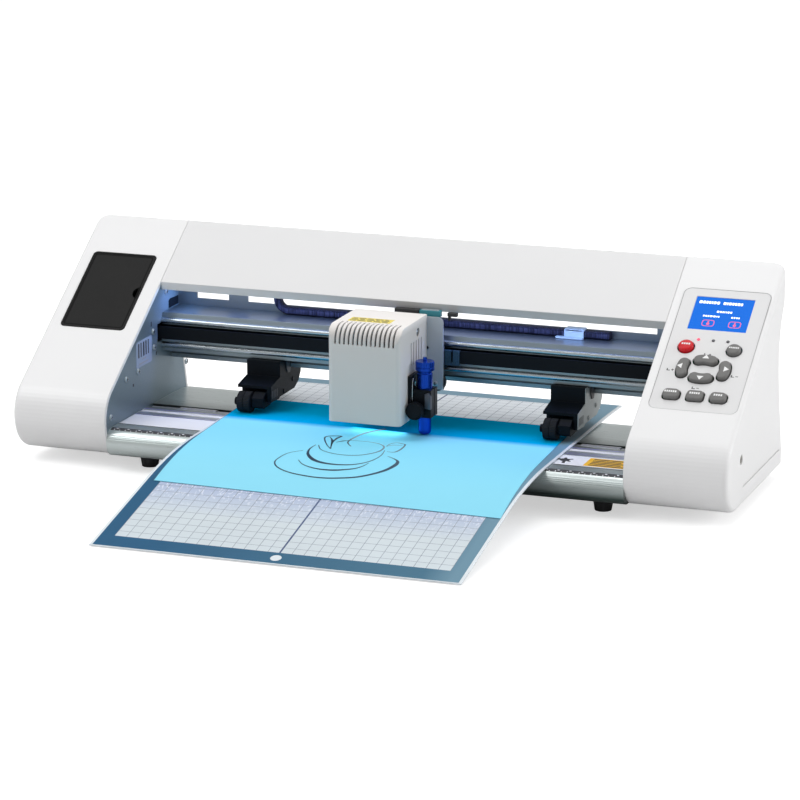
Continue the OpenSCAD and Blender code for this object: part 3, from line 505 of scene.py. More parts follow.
def ring_arc(cx, cy, r, a0, a1, n):
    return [(cx + r * math.cos(math.radians(a0 + (a1 - a0) * i / n)),
             cy + r * math.sin(math.radians(a0 + (a1 - a0) * i / n))) for i in range(n + 1)]


def rounded(w, h, r, cx=0.0, cy=0.0, n=6):
    points = []
    for sx, sy, a in ((1, -1, -90), (1, 1, 0), (-1, 1, 90), (-1, -1, 180)):
        points += ring_arc(cx + sx * (w / 2 - r), cy + sy * (h / 2 - r), r, a, a + 90, n)
    return points


def disc(cx, cy, r, n=28):
    return ring_arc(cx, cy, r, 0, 360 * (n - 1) / n, n - 1)


def knurled(r, ripple, n):
    """Round outline of n points, with a tooth at every fourth."""
    return [((r + ripple * math.cos(i * math.pi / 2)) * math.cos(2 * math.pi * i / n),
             (r + ripple * math.cos(i * math.pi / 2)) * math.sin(2 * math.pi * i / n))
            for i in range(n)]


def bean(cx, cy, w, turn, bend=19.0, half=18.0):
    """Outline of a kidney-shaped key: a bar of width w bent by half degrees to each side of the
    middle round an arc of radius bend, then turned."""
    def end(angle):
        return bend * math.cos(math.radians(angle)), -bend + bend * math.sin(math.radians(angle))

    points = ring_arc(0, -bend, bend + w / 2, 90 - half, 90 + half, 10)
    points += ring_arc(*end(90 + half), w / 2, 90 + half, 270 + half, 10)[1:]
    points += ring_arc(0, -bend, bend - w / 2, 90 + half, 90 - half, 10)[1:]
    points += ring_arc(*end(90 - half), w / 2, -90 - half, 90 - half, 10)[1:-1]
    c, s = math.cos(math.radians(turn)), math.sin(math.radians(turn))
    return [(cx + x * c - y * s, cy + x * s + y * c) for x, y in points]


def sideways(points):
    """Unit normals of a flat path, one at each point."""
    out = []
    for i in range(len(points)):
        (ax, ay), (bx, by) = points[max(i - 1, 0)], points[min(i + 1, len(points) - 1)]
        length = math.hypot(bx - ax, by - ay) or 1
        out.append((-(by - ay) / length, (bx - ax) / length))
    return out


def path_ribbon(bm, points, widths, lift, place):
    """A flat ribbon along points on a surface; place turns (x, y, lift) into metres."""
    ladder(bm, [[bm.verts.new(place(x + nx * w / 2 * k, y + ny * w / 2 * k, lift)) for k in (1, -1)]
                for (x, y), (nx, ny), w in zip(points, sideways(points), widths)])


def sweep(bm, spine, section, place, swell=None):
    """Carries a closed section along a flat path; place turns (x, y, across) into metres.

    swell scales the section's thickness at each point of the path.
    """
    swell = swell or [1] * len(spine)
    rings = [[bm.verts.new(place(x + nx * v * k, y + ny * v * k, u)) for u, v in section]
             for (x, y), (nx, ny), k in zip(spine, sideways(spine), swell)]
    for a, b in zip(rings, rings[1:]):
        bridge(bm, a, b)
    bm.faces.new(rings[0])
    bm.faces.new(list(reversed(rings[-1])))


def strip(bm, outer, inner, place, low, high, skin=0):
    """A closed band between two outlines with the same number of points."""
    loops = [[bm.verts.new(place @ Vector((x, y, z))) for x, y in line]
             for line, z in ((outer, low), (outer, high), (inner, high), (inner, low))]
    for k in range(4):
        bridge(bm, loops[k], loops[(k + 1) % 4], skin)


def pan_screw(bm, place, r, height):
    """A domed screw head in the first skin, with a cross recess in the second."""
    rings = [[bm.verts.new(place @ Vector((x, y, height * level))) for x, y in disc(0, 0, r * share, 24)]
             for level, share in ((0.0, 1.0), (0.45, 0.98), (0.75, 0.86), (0.93, 0.6))]
    for a, b in zip(rings, rings[1:]):
        bridge(bm, a, b)
    tip = bm.verts.new(place @ Vector((0, 0, height)))
    last = rings[-1]
    for i in range(len(last)):
        bm.faces.new((last[i - 1], last[i], tip))
    reach, half = 0.62 * r, 0.12 * r
    for w, h in ((reach, half), (half, reach)):
        slab(bm, rect(-w, w, -h, h), place, height * 0.4, height * 1.03, 1)


# ---------- end housings ----------

# One screw in an oval recess on the outer face of each housing
for side, name in ((1, "right"), (-1, "left")):
    outside = frame_of(at(side * 311.6, 44, 49.6), side * Y, Z)
    bm = bmesh.new()
    slab(bm, rounded(8.6, 12.6, 4.2), outside, 0.02, 0.12, 1)
    pan_screw(bm, outside, 3.6, 0.8)
    add("housing_screw_" + name, bm, [bronze, ink_dark], "root")

# Screws and holes on the inner faces of the side plates, as depth and height
SCREWS = [(132.8, 129), (103.4, 99.7), (104.9, 85.6), (44.9, 70.6), (70.1, 71.8),
          (174.4, 57.2), (12, 45.2)]
bm = bmesh.new()
for side in (-1, 1):
    for depth, height in SCREWS:
        place = frame_of(at(side * INNER, depth, height), -side * Y, Z)
        pan_screw(bm, place, 2.7, 1.5)
heads = add("screw_heads", bm, [zinc, ink_dark], "root")
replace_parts(heads, "screws")

bm = bmesh.new()
for depth, height, w, h in ((100, 107, 1.8, 4.2), (110, 79, 1.6, 3.0), (60, 62, 2.4, 2.4)):
    hole = frame_of(at(-INNER, depth, height), Y, Z)
    slab(bm, rect(-w / 2, w / 2, -h / 2, h / 2), hole, 0.02, 0.1)
add("plate_slots", bm, [ink_dark], "root", smooth=False)

# A plain bar label on the left plate
label = frame_of(at(-INNER, 83.5, 86), Y, Z)
bm = bmesh.new()
slab(bm, rounded(33, 23, 1.2), label, 0.03, 0.16)
for i, w in enumerate((2.6, 2.1, 3.0, 2.3, 1.8)):
    x = 5.2 * i - 12.5
    slab(bm, rect(x, x + w, -3, 9.5), label, 0.16, 0.2, 1)
for row, (x0, x1) in enumerate(((-4, 4), (-10.5, 9))):
    slab(bm, rect(x0, x1, -6 - 3.2 * row, -4.8 - 3.2 * row), label, 0.16, 0.2, 2)
add("plate_label", bm, [label_blue, ink_dark, ink_grey], "root", smooth=False)

# ---------- control panel ----------

bm = bmesh.new()
strip(bm, rounded(74.1, 136.5, 6.3), rounded(73.5, 135.9, 6.0), PANEL, -0.5, -0.12)
add("panel_seam", bm, [ink_grey], "root")

# Screen: a glossy plate in the window, with plain bars in place of words
SCREEN_X, SCREEN_Y = -0.3, 40.6
bm = bmesh.new()
slab(bm, rounded(49.3, 37.3, 0.8, SCREEN_X, SCREEN_Y), PANEL, -1.1, -0.75)
screen = PANEL @ Matrix.Translation((SCREEN_X, SCREEN_Y, -0.74))


def blocks(x, y, h, gap, widths):
    """A row of small rounded bars that stands for a line of words; a negative width is a space."""
    for w in widths:
        if w > 0:
            slab(bm, rounded(w, h, min(w, h) * 0.3, x + w / 2, y, 3), screen, 0, 0.05, 1)
        x += abs(w) + gap


blocks(-21.5, 12.8, 3.0, 0.6,
       (2.6, 2.2, 1.6, 1.6, 1.1, 2.3, 2.3, -2, 2.3, 1.1, 2.3, 1.6, 1.6, 2.2, 1.6))
blocks(-4.5, 3.0, 2.1, 0.6, (2.0, 1.6, 0.9, 0.8, 0.8, 1.6, 1.6))
blocks(-15, -2.6, 1.8, 0.55, (1.4, 1.4, 1.4, 2.2, 2.2, 0.7, 1.3))
blocks(9, -2.6, 1.8, 0.6, (1.4, 1.4, 1.4, 1.0))
for cx in (-9, 13.5):
    strip(bm, rounded(10.5, 7.2, 2.4, cx, -10.5), rounded(9.3, 6.0, 1.9, cx, -10.5), screen,
          0, 0.05, 2)
    slab(bm, disc(cx, -11.3, 1.3, 14), screen, 0, 0.05, 2)
    slab(bm, rect(cx - 0.5, cx + 0.5, -10.5, -8.2), screen, 0, 0.05, 2)
add("screen", bm, [lcd_blue, screen_white, screen_red], "root", smooth=False)

# Domed key caps, each with a printed mark
CAP_SHARE = 0.91  # of the CAD key's opening


def dashes(x, y, pitch, w, h, count):
    """A row of equal bars that stands for a printed word."""
    return [rect(x + pitch * i, x + pitch * i + w, y, y + h) for i in range(count)]


CAPS = {
    "reset": disc(-20.9, 1.2, 7.0),
    "origin": disc(19.5, 0.8, 6.6),
    "up": bean(-0.8, -12.2, 10, 0),
    "down": bean(-0.8, -33.0, 10, 180),
    "left": bean(-18.8, -22.6, 10, 90),
    "right": bean(17.2, -22.6, 10, -90),
    "mode": rounded(15, 11, 4.2, -20.6, -52.4),
    "setup": rounded(15, 11, 3.2, -0.8, -52.4),
    "test": rounded(15, 11, 4.2, 18.6, -52.4),
}
MARKS = {
    "reset": dashes(-24.4, 1.2, 1.9, 1.3, 1.8, 4),
    "origin": dashes(15.6, 0.8, 1.45, 1.0, 1.6, 6),
    "up": [[(-3.6, -12.6), (2.0, -12.6), (-0.8, -8.4)]],
    "down": [[(-0.8, -36.4), (2.0, -32.2), (-3.6, -32.2)]],
    "left": [[(-22.6, -22.6), (-18.4, -25.4), (-18.4, -19.8)]],
    "right": [[(21.0, -22.6), (16.8, -19.8), (16.8, -25.4)]],
    "mode": dashes(-26.1, -52.2, 1.75, 1.2, 2.0, 6),
    "setup": dashes(-5.2, -52.2, 1.8, 1.25, 2.0, 5),
    "test": dashes(14.9, -52.2, 1.9, 1.35, 2.0, 4),
}
for name, outline in CAPS.items():
    us, vs = zip(*outline)
    mid_u, mid_v = (min(us) + max(us)) / 2, (min(vs) + max(vs)) / 2
    outline = [(mid_u + (u - mid_u) * CAP_SHARE, mid_v + (v - mid_v) * CAP_SHARE)
               for u, v in outline]
    bm = bmesh.new()
    round_cap = name in ("reset", "origin")
    slab(bm, outline, PANEL, -3.4, 3.0, 0, inset=2.0 if round_cap else 1.5, crown=6)
    for mark in MARKS[name]:
        slab(bm, mark, PANEL, 2.9, 3.06, 1)
    cap = add(name + "_cap", bm, [key_red if name == "reset" else key_grey, ink_white],
              name + "_key")
    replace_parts(cap, name + "_key")

# Plain marks with a plus or minus sign beside the arrow keys
MARK = [(-3.4, -0.6, -1.1, -0.4), (-3.4, -2.6, -1.1, 1.3), (0.4, 2.6, -0.3, 0.3)]
PLUS_BAR = [(1.2, 1.8, -1.1, 1.1)]
bm = bmesh.new()
for cx, cy, plus in ((-0.8, -5.4, 1), (-27.6, -25.0, 1), (26.6, -27.0, 0), (-2.4, -43.0, 0)):
    for x0, x1, y0, y1 in MARK + plus * PLUS_BAR:
        slab(bm, rect(cx + x0, cx + x1, cy + y0, cy + y1), PANEL, -0.3, -0.24)
add("panel_signs", bm, [ink_dark], "root", smooth=False)

# Three status lights, the first one lit
for i, x in enumerate((-12.6, 0, 12.2)):
    bm = bmesh.new()
    slab(bm, disc(x, 10.4, 1.35, 20), PANEL, -1.8, 0.55, 0, inset=0.7, crown=4)
    add("status_light_%d" % (i + 1), bm, [lens_dark if i else lens_red], "root")

# ---------- under the cover ----------

# Painted shade: a grey band over the white cover's front, just before its lower edge
bm = bmesh.new()
ladder(bm, [[bm.verts.new(at(x, depth, z)) for x in (-INNER + 0.4, INNER - 0.4)]
            for depth, z in ((121.63, 139.5), (122.78, 133.4))])
add("cover_band_shade", bm, [painted_band_shade], "root", smooth=False)

# Strip of light behind the band
bm = bmesh.new()
slab(bm, rect(-INNER + 2, INNER - 2, 0, 8), frame_of(at(0, 128, 133.4), X, Y), 0.0, 1.0)
add("light_strip", bm, [led_glow], "root", smooth=False)

# ---------- platen ----------

EDGE_C, EDGE_R = (14.0, 24.5), 12.0  # centre and radius of the platen's rounded front
RULER_LOW, RULER_HIGH = 116, 93  # where the printed ruler lies round that front, in degrees
TOP = frame_of(at(0, 0, PLATEN_H), X, Y)


def nose_patch(bm, x0, x1, a0, a1, lift, skin=0):
    """A patch of the platen's rounded front between two angles."""
    rows = []
    for i in range(5):
        turn = math.radians(a0 + (a1 - a0) * i / 4)
        depth = EDGE_C[0] + (EDGE_R + lift) * math.cos(turn)
        height = EDGE_C[1] + (EDGE_R + lift) * math.sin(turn)
        rows.append([bm.verts.new(at(x, depth, height)) for x in (x0, x1)])
    ladder(bm, rows, skin)


# Ruler with a mark every 5 mm, every other one longer and with a pale figure beside it
bm = bmesh.new()
nose_patch(bm, -INNER + 1, INNER - 1, RULER_LOW, RULER_HIGH, 0.06)
for i in range(int(2 * INNER / 5) - 1):
    x = -INNER + 4 + 5 * i
    tall = 5 if i % 2 else 9
    nose_patch(bm, x, x + 0.7, RULER_LOW - 1, RULER_LOW - 1 - tall, 0.1, 1)
    if i % 2 == 0:
        nose_patch(bm, x + 1.6, x + 3.6, RULER_LOW - 12, RULER_LOW - 18, 0.1, 1)
add("ruler_strip", bm, [ink_dark, label_white], "root")

# Printed strips and plain labels on top of the platen
bm = bmesh.new()
slab(bm, rect(-INNER + 0.5, INNER - 0.5, 26.2, 27.2), TOP, 0.0, 0.05, 0)
slab(bm, rect(158, INNER - 1, 28.4, 57.5), TOP, 0.0, 0.04, 2)
slab(bm, rect(184, 224, 30.5, 54.8), TOP, 0.0, 0.08, 1)
for i, wide in enumerate((30, 26, 33, 24, 29)):
    y = 32.6 + 4.4 * i
    slab(bm, rect(188, 188 + wide, y, y + 2.2), TOP, 0.08, 0.12, 0)
slab(bm, rect(-INNER + 1, -130, 28.2, 60.5), TOP, 0.0, 0.05, 2)
# Dark star-shaped mark: three crossed bars and a disc
for cx, cy, w, h, turn in ((165, 44, 14, 2.4, 20), (165, 42, 14, 2.4, -28), (165.5, 41, 2.6, 17, 8)):
    bar = TOP @ Matrix.Translation((cx, cy, 0)) @ Matrix.Rotation(math.radians(turn), 4, "Z")
    slab(bm, rounded(w, h, 1.1), bar, 0.0, 0.07, 0)
slab(bm, disc(165.2, 42.5, 4.2, 20), TOP, 0.0, 0.09, 0)
for y0, y1 in ((61.5, 62.4), (66.2, 66.7), (81.2, 82.3)):
    slab(bm, rect(-INNER + 0.5, INNER - 0.5, y0, y1), TOP, 0.0, 0.05, 4)
add("platen_labels", bm, [ink_dark, label_amber, label_white, ink_grey, violet], "root",
    smooth=False)

# ---------- cutting mat and vinyl ----------

MAT_TOP = 37.8
FLAT_FROM, FLAT_TO = 10, 165  # depths between which the mat lies flat on the platen
BEND, DROOP = 463.0, math.radians(12.5)  # radius and angle of its curve before the platen
REAR_BEND, REAR_DROOP = 1501, math.radians(2.5)  # the same behind the platen
S_BEND = 115.7  # length of the straight front part
S_FLAT = S_BEND + BEND * DROOP
S_REAR = S_FLAT + FLAT_TO - FLAT_FROM
S_END = S_REAR + REAR_BEND * REAR_DROOP


def along(depth):
    """Distance from the front edge of the mat to a depth on its top face."""
    if depth >= FLAT_FROM:
        return S_FLAT + depth - FLAT_FROM
    phi = math.asin(min((FLAT_FROM - depth) / BEND, 1))
    if phi <= DROOP:
        return S_FLAT - BEND * phi
    return S_BEND - (FLAT_FROM - BEND * math.sin(DROOP) - depth) / math.cos(DROOP)


def on_mat(x, s, lift):
    """A point over the top face of the mat, s millimetres from its front edge."""
    if s >= S_REAR:
        phi = (s - S_REAR) / REAR_BEND
        return at(x, FLAT_TO + (REAR_BEND + lift) * math.sin(phi),
                  MAT_TOP - REAR_BEND + (REAR_BEND + lift) * math.cos(phi))
    if s >= S_FLAT:
        return at(x, FLAT_FROM + s - S_FLAT, MAT_TOP + lift)
    phi = min((S_FLAT - s) / BEND, DROOP)
    rest = max(S_BEND - s, 0)
    return at(x, FLAT_FROM - (BEND + lift) * math.sin(phi) - rest * math.cos(phi),
              MAT_TOP - BEND + (BEND + lift) * math.cos(phi) - rest * math.sin(phi))


def mat_patch(bm, x0, x1, s0, s1, lift, skin):
    """A printed patch that follows the mat."""
    n = max(1, math.ceil((s1 - s0) / 5))
    ladder(bm, [[bm.verts.new(on_mat(x, s0 + (s1 - s0) * i / n, lift)) for x in (x0, x1)]
                for i in range(n + 1)], skin)


# Border, field, and a grid of 10 mm with a heavier line down the middle
EDGE_X, FIELD_X, EDGE_S, FIELD_S = (-147, 157), (-135, 145), (1, S_END - 1), (17.7, S_END - 17.7)
bm = bmesh.new()
for x0, x1, s0, s1, skin in (
        (*EDGE_X, EDGE_S[0], FIELD_S[0], 0), (*EDGE_X, FIELD_S[1], EDGE_S[1], 0),
        (EDGE_X[0], FIELD_X[0], *FIELD_S, 0), (FIELD_X[1], EDGE_X[1], *FIELD_S, 0),
        (*FIELD_X, *FIELD_S, 1)):
    mat_patch(bm, x0, x1, s0, s1, 0.05, skin)
for i in range(29):
    x = FIELD_X[0] + 10 * i
    half, skin = (0.75, 3) if i == 14 else (0.2, 2)
    mat_patch(bm, x - half, x + half, *FIELD_S, 0.08, skin)
s = FIELD_S[0] + 8.2
while s < FIELD_S[1]:
    mat_patch(bm, *FIELD_X, s - 0.2, s + 0.2, 0.09, 2)
    s += 10
spot = [bm.verts.new(on_mat(x, s, 0.1)) for x, s in disc(5, 9.2, 4.5)]
bm.faces.new(spot).material_index = 4
add("mat_print", bm, [mat_border, mat_field, mat_line, mat_centre, mat_clear], "media",
    smooth=False)

# A plain drawing that the blade has cut: nested arcs, a leaf and a drop. Each stroke has its
# points as x and depth, its width at the ends and at its widest, and the point where it is widest.
PEN = 1.5  # share by which every stroke is widened
PER = 8  # steps from one point to the next
STROKES = {
    "outer": ([(-45, -7), (-54, -17), (-57.3, -31), (-56.7, -41), (-50.8, -50), (-40, -57),
               (-26, -61), (-9, -62.6), (6, -60), (20, -54.5), (31, -45), (38, -34), (41, -22),
               (40, -13), (35, -7), (27, -1.4)], 0.5, 2.6, 12),
    "middle": ([(-41, 12), (-41.4, -1), (-37.6, -15), (-28.3, -27), (-16.5, -32.5), (-2, -32.7),
                (10, -28), (18.5, -17), (21.2, -1), (18.7, 14.7)], 0.5, 2.6, 3),
    "upper": ([(-38.6, 12), (-32, 0), (-20, -7.3), (-5, -8.8), (7.4, -3), (15.2, 9.5), (15, 23),
               (9.4, 31), (0, 35), (-12, 35.5), (-20.9, 34.5)], 0.5, 1.3, 5),
    "inner": ([(-40, -30.7), (-32, -40), (-18.7, -45.6), (-3.4, -45.5), (10.5, -39), (16, -32),
               (18.5, -23)], 0.4, 2.2, 3),
    "lead": ([(-12, 17), (-18.8, 28), (-19.4, 41), (-17, 57), (-11, 70), (-4, 79.5)], 0.7, 2.6, 5),
    "stem": ([(-28, 25), (-24, 31), (-20, 34.5)], 0.5, 1.6, 1),
    "leaf": ([(-25, 4), (-31.8, 14), (-39, 27.6), (-42.4, 37), (-40.6, 42), (-31, 45),
              (-31.9, 38), (-31.2, 26), (-28.5, 15), (-25, 4)], 0.6, 1.5, 6),
    "vein": ([(-39, 39.4), (-33.5, 30), (-27, 9.3)], 0.4, 1.2, 1),
    "drop": ([(15.7, 27), (16.2, 35), (19.6, 40.6), (24.8, 39.5), (28.7, 36.6), (30.1, 24.4),
              (29.2, 14), (26, 11), (21.6, 11.8)], 0.5, 1.3, 6),
    "fold": ([(15.7, 27), (19.4, 32.5), (27.2, 33.7)], 0.4, 1.0, 1),
}


def smooth_line(points):
    """Catmull-Rom curve through a list of points."""
    line = [points[0]] + list(points) + [points[-1]]
    out = []
    for a, b, c, d in zip(line, line[1:], line[2:], line[3:]):
        for i in range(PER):
            t = i / PER
            out.append(tuple(0.5 * (2 * b[k] + (c[k] - a[k]) * t
                                    + (2 * a[k] - 5 * b[k] + 4 * c[k] - d[k]) * t * t
                                    + (3 * b[k] - a[k] - 3 * c[k] + d[k]) * t ** 3)
                             for k in (0, 1)))
    return out + [points[-1]]


def between(a, b, t):
    return tuple(p + (q - p) * t for p, q in zip(a, b))


# Vinyl laid on the mat, turned by about two degrees: its corners as x and distance along the mat
FRONT, BACK = ((-141.2, 111.3), (157.0, 105.0)), ((-151.0, 348), (145.0, 342))
ROWS, COLUMNS = 80, 12
bm = bmesh.new()
faces = []
for lift in (0.40, 0.12):
    rows = []
    for i in range(ROWS + 1):
        left, right = (between(f, b, i / ROWS) for f, b in zip(FRONT, BACK))
        rows.append([bm.verts.new(on_mat(*between(left, right, j / COLUMNS), lift))
                     for j in range(COLUMNS + 1)])
    faces.append(rows)
top, under = faces
for i in range(ROWS):
    for j in range(COLUMNS):
        bm.faces.new((top[i][j], top[i][j + 1], top[i + 1][j + 1], top[i + 1][j]))
        bm.faces.new((under[i + 1][j], under[i + 1][j + 1], under[i][j + 1], under[i][j]))


def rim(rows):
    """The vertices round the edge of a grid, in order."""
    return (rows[0] + [row[-1] for row in rows[1:]] + rows[-1][-2::-1]
            + [row[0] for row in rows[-2:0:-1]])


bridge(bm, rim(top), rim(under))
sheet = add("vinyl_top", bm, [vinyl_cyan], "media")
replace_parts(sheet, "vinyl_sheet")

# Dark line along its front and left edges
bm = bmesh.new()
for start, end in (FRONT, (FRONT[0], BACK[0])):
    path_ribbon(bm, [between(start, end, i / 60) for i in range(61)], [0.6] * 61, 0.43, on_mat)
add("vinyl_edge", bm, [edge_line], "media", smooth=False)

bm = bmesh.new()
for points, thin, thick, peak in STROKES.values():
    line = smooth_line(points)
    peak *= PER
    tail = max(len(line) - 1 - peak, 1)
    shares = [i / peak if i <= peak else (len(line) - 1 - i) / tail for i in range(len(line))]
    widths = [PEN * (thin + (thick - thin) * max(share, 0) ** 1.4) for share in shares]
    path_ribbon(bm, [(x, along(depth)) for x, depth in line], widths, 0.46, on_mat)
add("cut_drawing", bm, [cut_line], "media", smooth=False)

# ---------- cutting head ----------

HEAD_TOP = frame_of(at(0, 0, 133), X, Y)
bm = bmesh.new()
slab(bm, rect(-33, 4.5, 65.5, 79.5), HEAD_TOP, 0.0, 0.09, 0)
for row, widths in enumerate(((5, 7, 4, 6, 5), (6, 4, 7, 3, 7), (4, 6, 5, 7, 3))):
    x = -31.4
    for w in widths:
        slab(bm, rect(x, x + w, 67.4 + 4 * row, 69.2 + 4 * row), HEAD_TOP, 0.09, 0.12, 1)
        x += w + 1.6
add("head_label", bm, [label_yellow, ink_dark], "carriage", smooth=False)

bm = bmesh.new()
recess = frame_of(at(20.8, 87.2, 122.4), Y, Z)
slab(bm, disc(0, 0, 3.5), recess, 0.05, 0.25, 1)
pan_screw(bm, recess, 2.3, 1.1)
pan_screw(bm, frame_of(at(29.3, 110, 73.3), X, Z), 2.7, 1.3)
add("head_screws", bm, [zinc, ink_dark], "carriage")

# Cable connector behind the top of the head, on the carriage
bm = bmesh.new()
for x0, x1, y0, y1, z0, z1, skin in (
        (-9, 13, 114.5, 120.8, 130, 135, 0), (13.4, 32, 114.5, 120.6, 130, 135, 1),
        (15, 30, 116, 119.5, 135, 135.7, 2), (38.5, 47, 114, 119, 131.4, 134.4, 0),
        (-7, 30, 115, 120, 127.4, 130.1, 0), (38.8, 41, 115, 118, 127.4, 131.5, 0)):
    slab(bm, rounded(x1 - x0, y1 - y0, 0.9, (x0 + x1) / 2, (y0 + y1) / 2), FLAT, z0, z1, skin,
         inset=0.4, crown=2)
slab(bm, rounded(44, 3.2, 0.8, 12, 117), FLAT, 110.5, 127.6, 0)
add("head_connector", bm, [socket_black, teal, zinc], "carriage")

# Latch of the clamp and the thin wire loop beside the holder
CLAMP = frame_of(at(36, 65.5, 54.8), X, Z)
bm = bmesh.new()
slab(bm, [(0.6, 9), (5.6, 8), (5.6, 18), (3.8, 22), (0.6, 21)], CLAMP, -1.2, 3.4, 0, inset=0.6,
     crown=3)
add("clamp_latch", bm, [latch_grey], "tool_lift")

bm = bmesh.new()
wire = smooth_line([(63.6, 58), (63.6, 70), (64.2, 84), (67, 87.6), (70.4, 85.4), (71.4, 80)])
sweep(bm, wire, disc(0, 0, 0.55, 8), lambda depth, z, across: at(25.3 + across, depth, z))
add("clamp_wire", bm, [rod_steel], "tool_lift")

# Knob with a knurled rim and a ring on its face
bm = bmesh.new()
knob = frame_of(at(29.6, 55, 62.2), X, Z)
slab(bm, knurled(7.35, 0.22, 144), knob, -6, 0.2, 0, inset=0.7, crown=4)
slab(bm, disc(0, 0, 2.0), knob, -11.8, -6, 0)
strip(bm, disc(0, 0, 6.0, 40), disc(0, 0, 5.6, 40), knob, 0.15, 0.3)
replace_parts(add("clamp_knob_grip", bm, [clamp_black], "clamp_knob"), "clamp_knob")

# ---------- head cable ----------

SLEEVE_Y, SLEEVE_W, SLEEVE_T = 150, 9.5, 6.5
LOOP_X, LOOP_Z, LOOP_R = -120, 126.4, 10.45


def sleeve(name, spine, node):
    """A flat braided sleeve along (x, z) points, with a pillow-shaped section and a slight wave."""
    bm = bmesh.new()
    last = len(spine) - 1
    swell = [0.985 + 0.015 * math.sin(i * 1.9) * (0 < i < last) for i in range(last + 1)]
    sweep(bm, spine, rounded(SLEEVE_W, SLEEVE_T, 2.6, n=4),
          lambda x, z, across: at(x, SLEEVE_Y + SLEEVE_W / 2 + across, z), swell)
    piece = add(name, bm, [sleeve_black], None)
    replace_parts(piece, node)
    return piece


low, high = LOOP_Z - LOOP_R, LOOP_Z + LOOP_R
lower = sleeve("sleeve_lower", [(170 - 2.9 * i, low) for i in range(101)], "cable_sleeve")
loop = [(LOOP_X - LOOP_R * math.sin(math.radians(a)), LOOP_Z - LOOP_R * math.cos(math.radians(a)))
        for a in range(0, 181, 10)]
upper = sleeve("sleeve_upper", loop + [(LOOP_X + 3.2 * i, high) for i in range(1, 41)],
               "cable_loop")
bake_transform(lower)
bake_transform(upper)

# Clip over the fixed run, with a foot on the beam
bm = bmesh.new()
slab(bm, rounded(17, 10.9, 1.2, 139.5, 154.1), FLAT, 119.2, 120.6, 0, inset=0.4, crown=3)
slab(bm, rect(131, 148, 112.7, 120), frame_of(at(0, 150, 0), X, Z), 0.15, 1.35, 0)
slab(bm, rounded(24, 4.6, 1.0, 136, 147.9), FLAT, 112.7, 113.9, 0)
add("sleeve_clip", bm, [clip_blue], "root")

# Painted shade: a dark sheet on the left plate stands for the shaded opening above the beam
bm = bmesh.new()
slab(bm, [(138, 113), (159.6, 113), (159.6, 120.4), (141, 121.2), (138, 119.6)],
     frame_of(at(-INNER, 0, 0), Y, Z), 0.02, 0.1)
add("plate_opening_shade", bm, [belt_black], "root", smooth=False)

# Bracket that holds the moving end of the sleeve
bm = bmesh.new()
step = [(113, 110.2), (113, 131.2), (148, 131.2), (150.4, 133.4), (159, 133.4), (159, 132),
        (151, 132), (148.6, 129.8), (114.4, 129.8), (114.4, 110.2)]
slab(bm, [(y, z) for y, z in reversed(step)], frame_of(at(0, 0, 0), Y, Z), -4, 8)
add("sleeve_bracket", bm, [carriage_black], "carriage", smooth=False, bevel=0.3)

# ---------- pinch rollers ----------

PINCH = {"left": -145.0, "right": 129.5}  # left side of each unit
PINCH_W = 30
WHEEL_Y, WHEEL_Z, WHEEL_R = 94.0, 47.4, 9.0
CHEEK = [(114, 46.6), (117, 48), (151, 48), (160.8, 52.7), (166.3, 60), (166.3, 65.8), (157.8, 75.5),
         (143, 75.8), (128.6, 76.8), (122.2, 78.2), (117.2, 78.3), (117.2, 65.4), (96.2, 61.2),
         (96.2, 47.7)]
LATCH = [(141.5, 76.5), (141.5, 70), (139, 65), (134, 65.5), (131, 70), (131, 77.5)]
for side, x in PINCH.items():
    # Tyre with two knurled bands and a hub
    axis = frame_of(at(x + 2.6, WHEEL_Y, WHEEL_Z), Y, Z)
    bm = bmesh.new()
    for low, high in ((0.05, 5.5), (6.1, 11.55)):
        slab(bm, knurled(WHEEL_R - 0.16, 0.15, 160), axis, low, high, 0, inset=0.5, crown=2)
    slab(bm, disc(0, 0, 8.2, 40), axis, 5.0, 6.6, 0)
    slab(bm, disc(0, 0, 4.4, 32), axis, -0.95, 12.75, 1)
    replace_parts(add("pinch_tyre_" + side, bm, [wheel_rubber, pinch_black], "pinch_wheel_" + side),
                "pinch_wheel_" + side)
    # Pressed plate over the right face of the block, with slots low at the front and a latch
    bm = bmesh.new()
    plate = frame_of(at(x + PINCH_W, 0, 0), Y, Z)
    slab(bm, CHEEK, plate, 0.02, 0.5, 0)
    for i in range(4):
        slab(bm, rounded(1.9, 7.2, 0.8, 99.7 + 3.6 * i, 53.5, 3), plate, 0.5, 0.56, 1)
    slab(bm, LATCH, plate, 0.5, 1.3, 1)
    for depth, z, r, dome in ((147, 57, 2.2, 0.8), (126, 51, 2.0, 0.7)):
        pan_screw(bm, frame_of(at(x + PINCH_W + 0.5, depth, z), Y, Z), r, dome)
    add("pinch_plate_" + side, bm, [pinch_plate if side == "right" else pinch_black, ink_dark],
        "pinch_block_" + side)

# ---------- tray ----------

# Rim round the opening, and the dark line round the lid
bm = bmesh.new()
strip(bm, rounded(59.4, 90.4, 3.8), rounded(56.6, 87.6, 3.0), TRAY, -1.5, 0.1)
add("tray_rim", bm, [tray_black], "root")
bm = bmesh.new()
strip(bm, rounded(55.0, 85.6, 2.3), rounded(53.2, 83.8, 1.8), TRAY, -0.28, -0.2)
add("tray_gap", bm, [tray_gap], "tray_lid")

# ---------- light and floor ----------

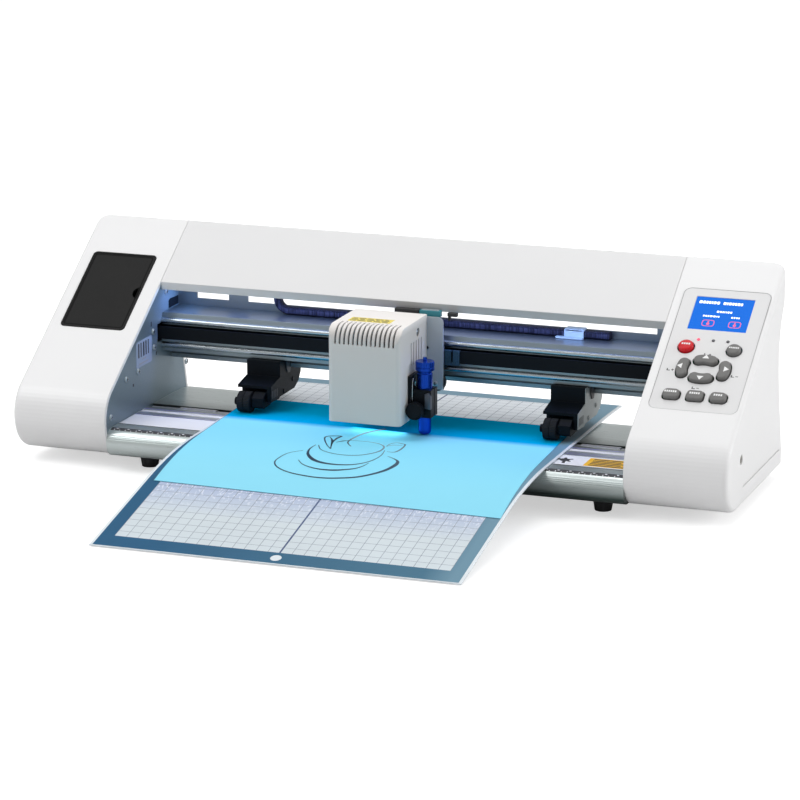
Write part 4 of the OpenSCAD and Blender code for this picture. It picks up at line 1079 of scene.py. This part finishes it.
# The background is white to the camera and dimmer as a light
world = bpy.data.worlds.new("world")
world.use_nodes = True
sky = world.node_tree.nodes["Background"]
sky.inputs[0].default_value = (1, 1, 1, 1)
rays = world.node_tree.nodes.new("ShaderNodeLightPath")
power = math_node(world.node_tree, "MULTIPLY_ADD", rays.outputs["Is Camera Ray"], 0.50, 0.55)
world.node_tree.links.new(power, sky.inputs[1])
bpy.context.scene.world = world
bpy.context.scene.view_settings.view_transform = "Standard"

# A pale floor, lifted to white for the camera only
bm = bmesh.new()
bmesh.ops.create_grid(bm, x_segments=2, y_segments=2, size=30)
floor_mesh = bpy.data.meshes.new("floor")
bm.to_mesh(floor_mesh)
bm.free()
floor = bpy.data.objects.new("floor", floor_mesh)
paper = material("floor", (0.72, 0.72, 0.72), 0.7, grain=60, mottle=0.002, bump=0.02, spec=0.1,
                 glow=(1, 1, 1))
seen = paper.node_tree.nodes.new("ShaderNodeLightPath").outputs["Is Camera Ray"]
paper.node_tree.links.new(math_node(paper.node_tree, "MULTIPLY", seen, 0.55),
                          paper.node_tree.nodes["Principled BSDF"].inputs["Emission Strength"])
floor_mesh.materials.append(paper)
bpy.context.scene.collection.objects.link(floor)


def lamp(name, where, target, power, size, tint=(1, 1, 1), tall=None, shine=True):
    """A rectangular lamp of size by tall metres, facing target; shine is for its reflections."""
    data = bpy.data.lights.new(name, "AREA")
    data.energy = power
    data.shape = "RECTANGLE"
    data.size = size
    data.size_y = tall or size
    data.color = tint
    made = bpy.data.objects.new(name, data)
    bpy.context.scene.collection.objects.link(made)
    made.location = where
    made.rotation_euler = (Vector(where) - Vector(target)).to_track_quat("Z", "Y").to_euler()
    made.visible_glossy = shine
    return made


middle = at(0, 90, 80)
lamp("key", (-1.5, -0.9, 2.1), middle, 25, 1.4)
lamp("side", (2.6, 0.7, 0.95), middle, 26, 1.0)
lamp("top", (0.1, 0.8, 2.4), middle, 17, 1.4)
lamp("under_cover", at(0, 128, 130), at(0, 140, 60), 0.26, 0.44, (0.38, 0.47, 1.0), 0.012,
     shine=False)
lamp("left_glow", at(-205, 140, 128), at(-227, 130, 110), 0.02, 0.03, (0.25, 0.5, 1.0), 0.02,
     shine=False)
head_lamp = lamp("head_lamp", at(-8, 70, 50), at(-10, 45, 37), 0.015, 0.05, (0.55, 0.9, 1.0), 0.03)
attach(head_lamp, "carriage")
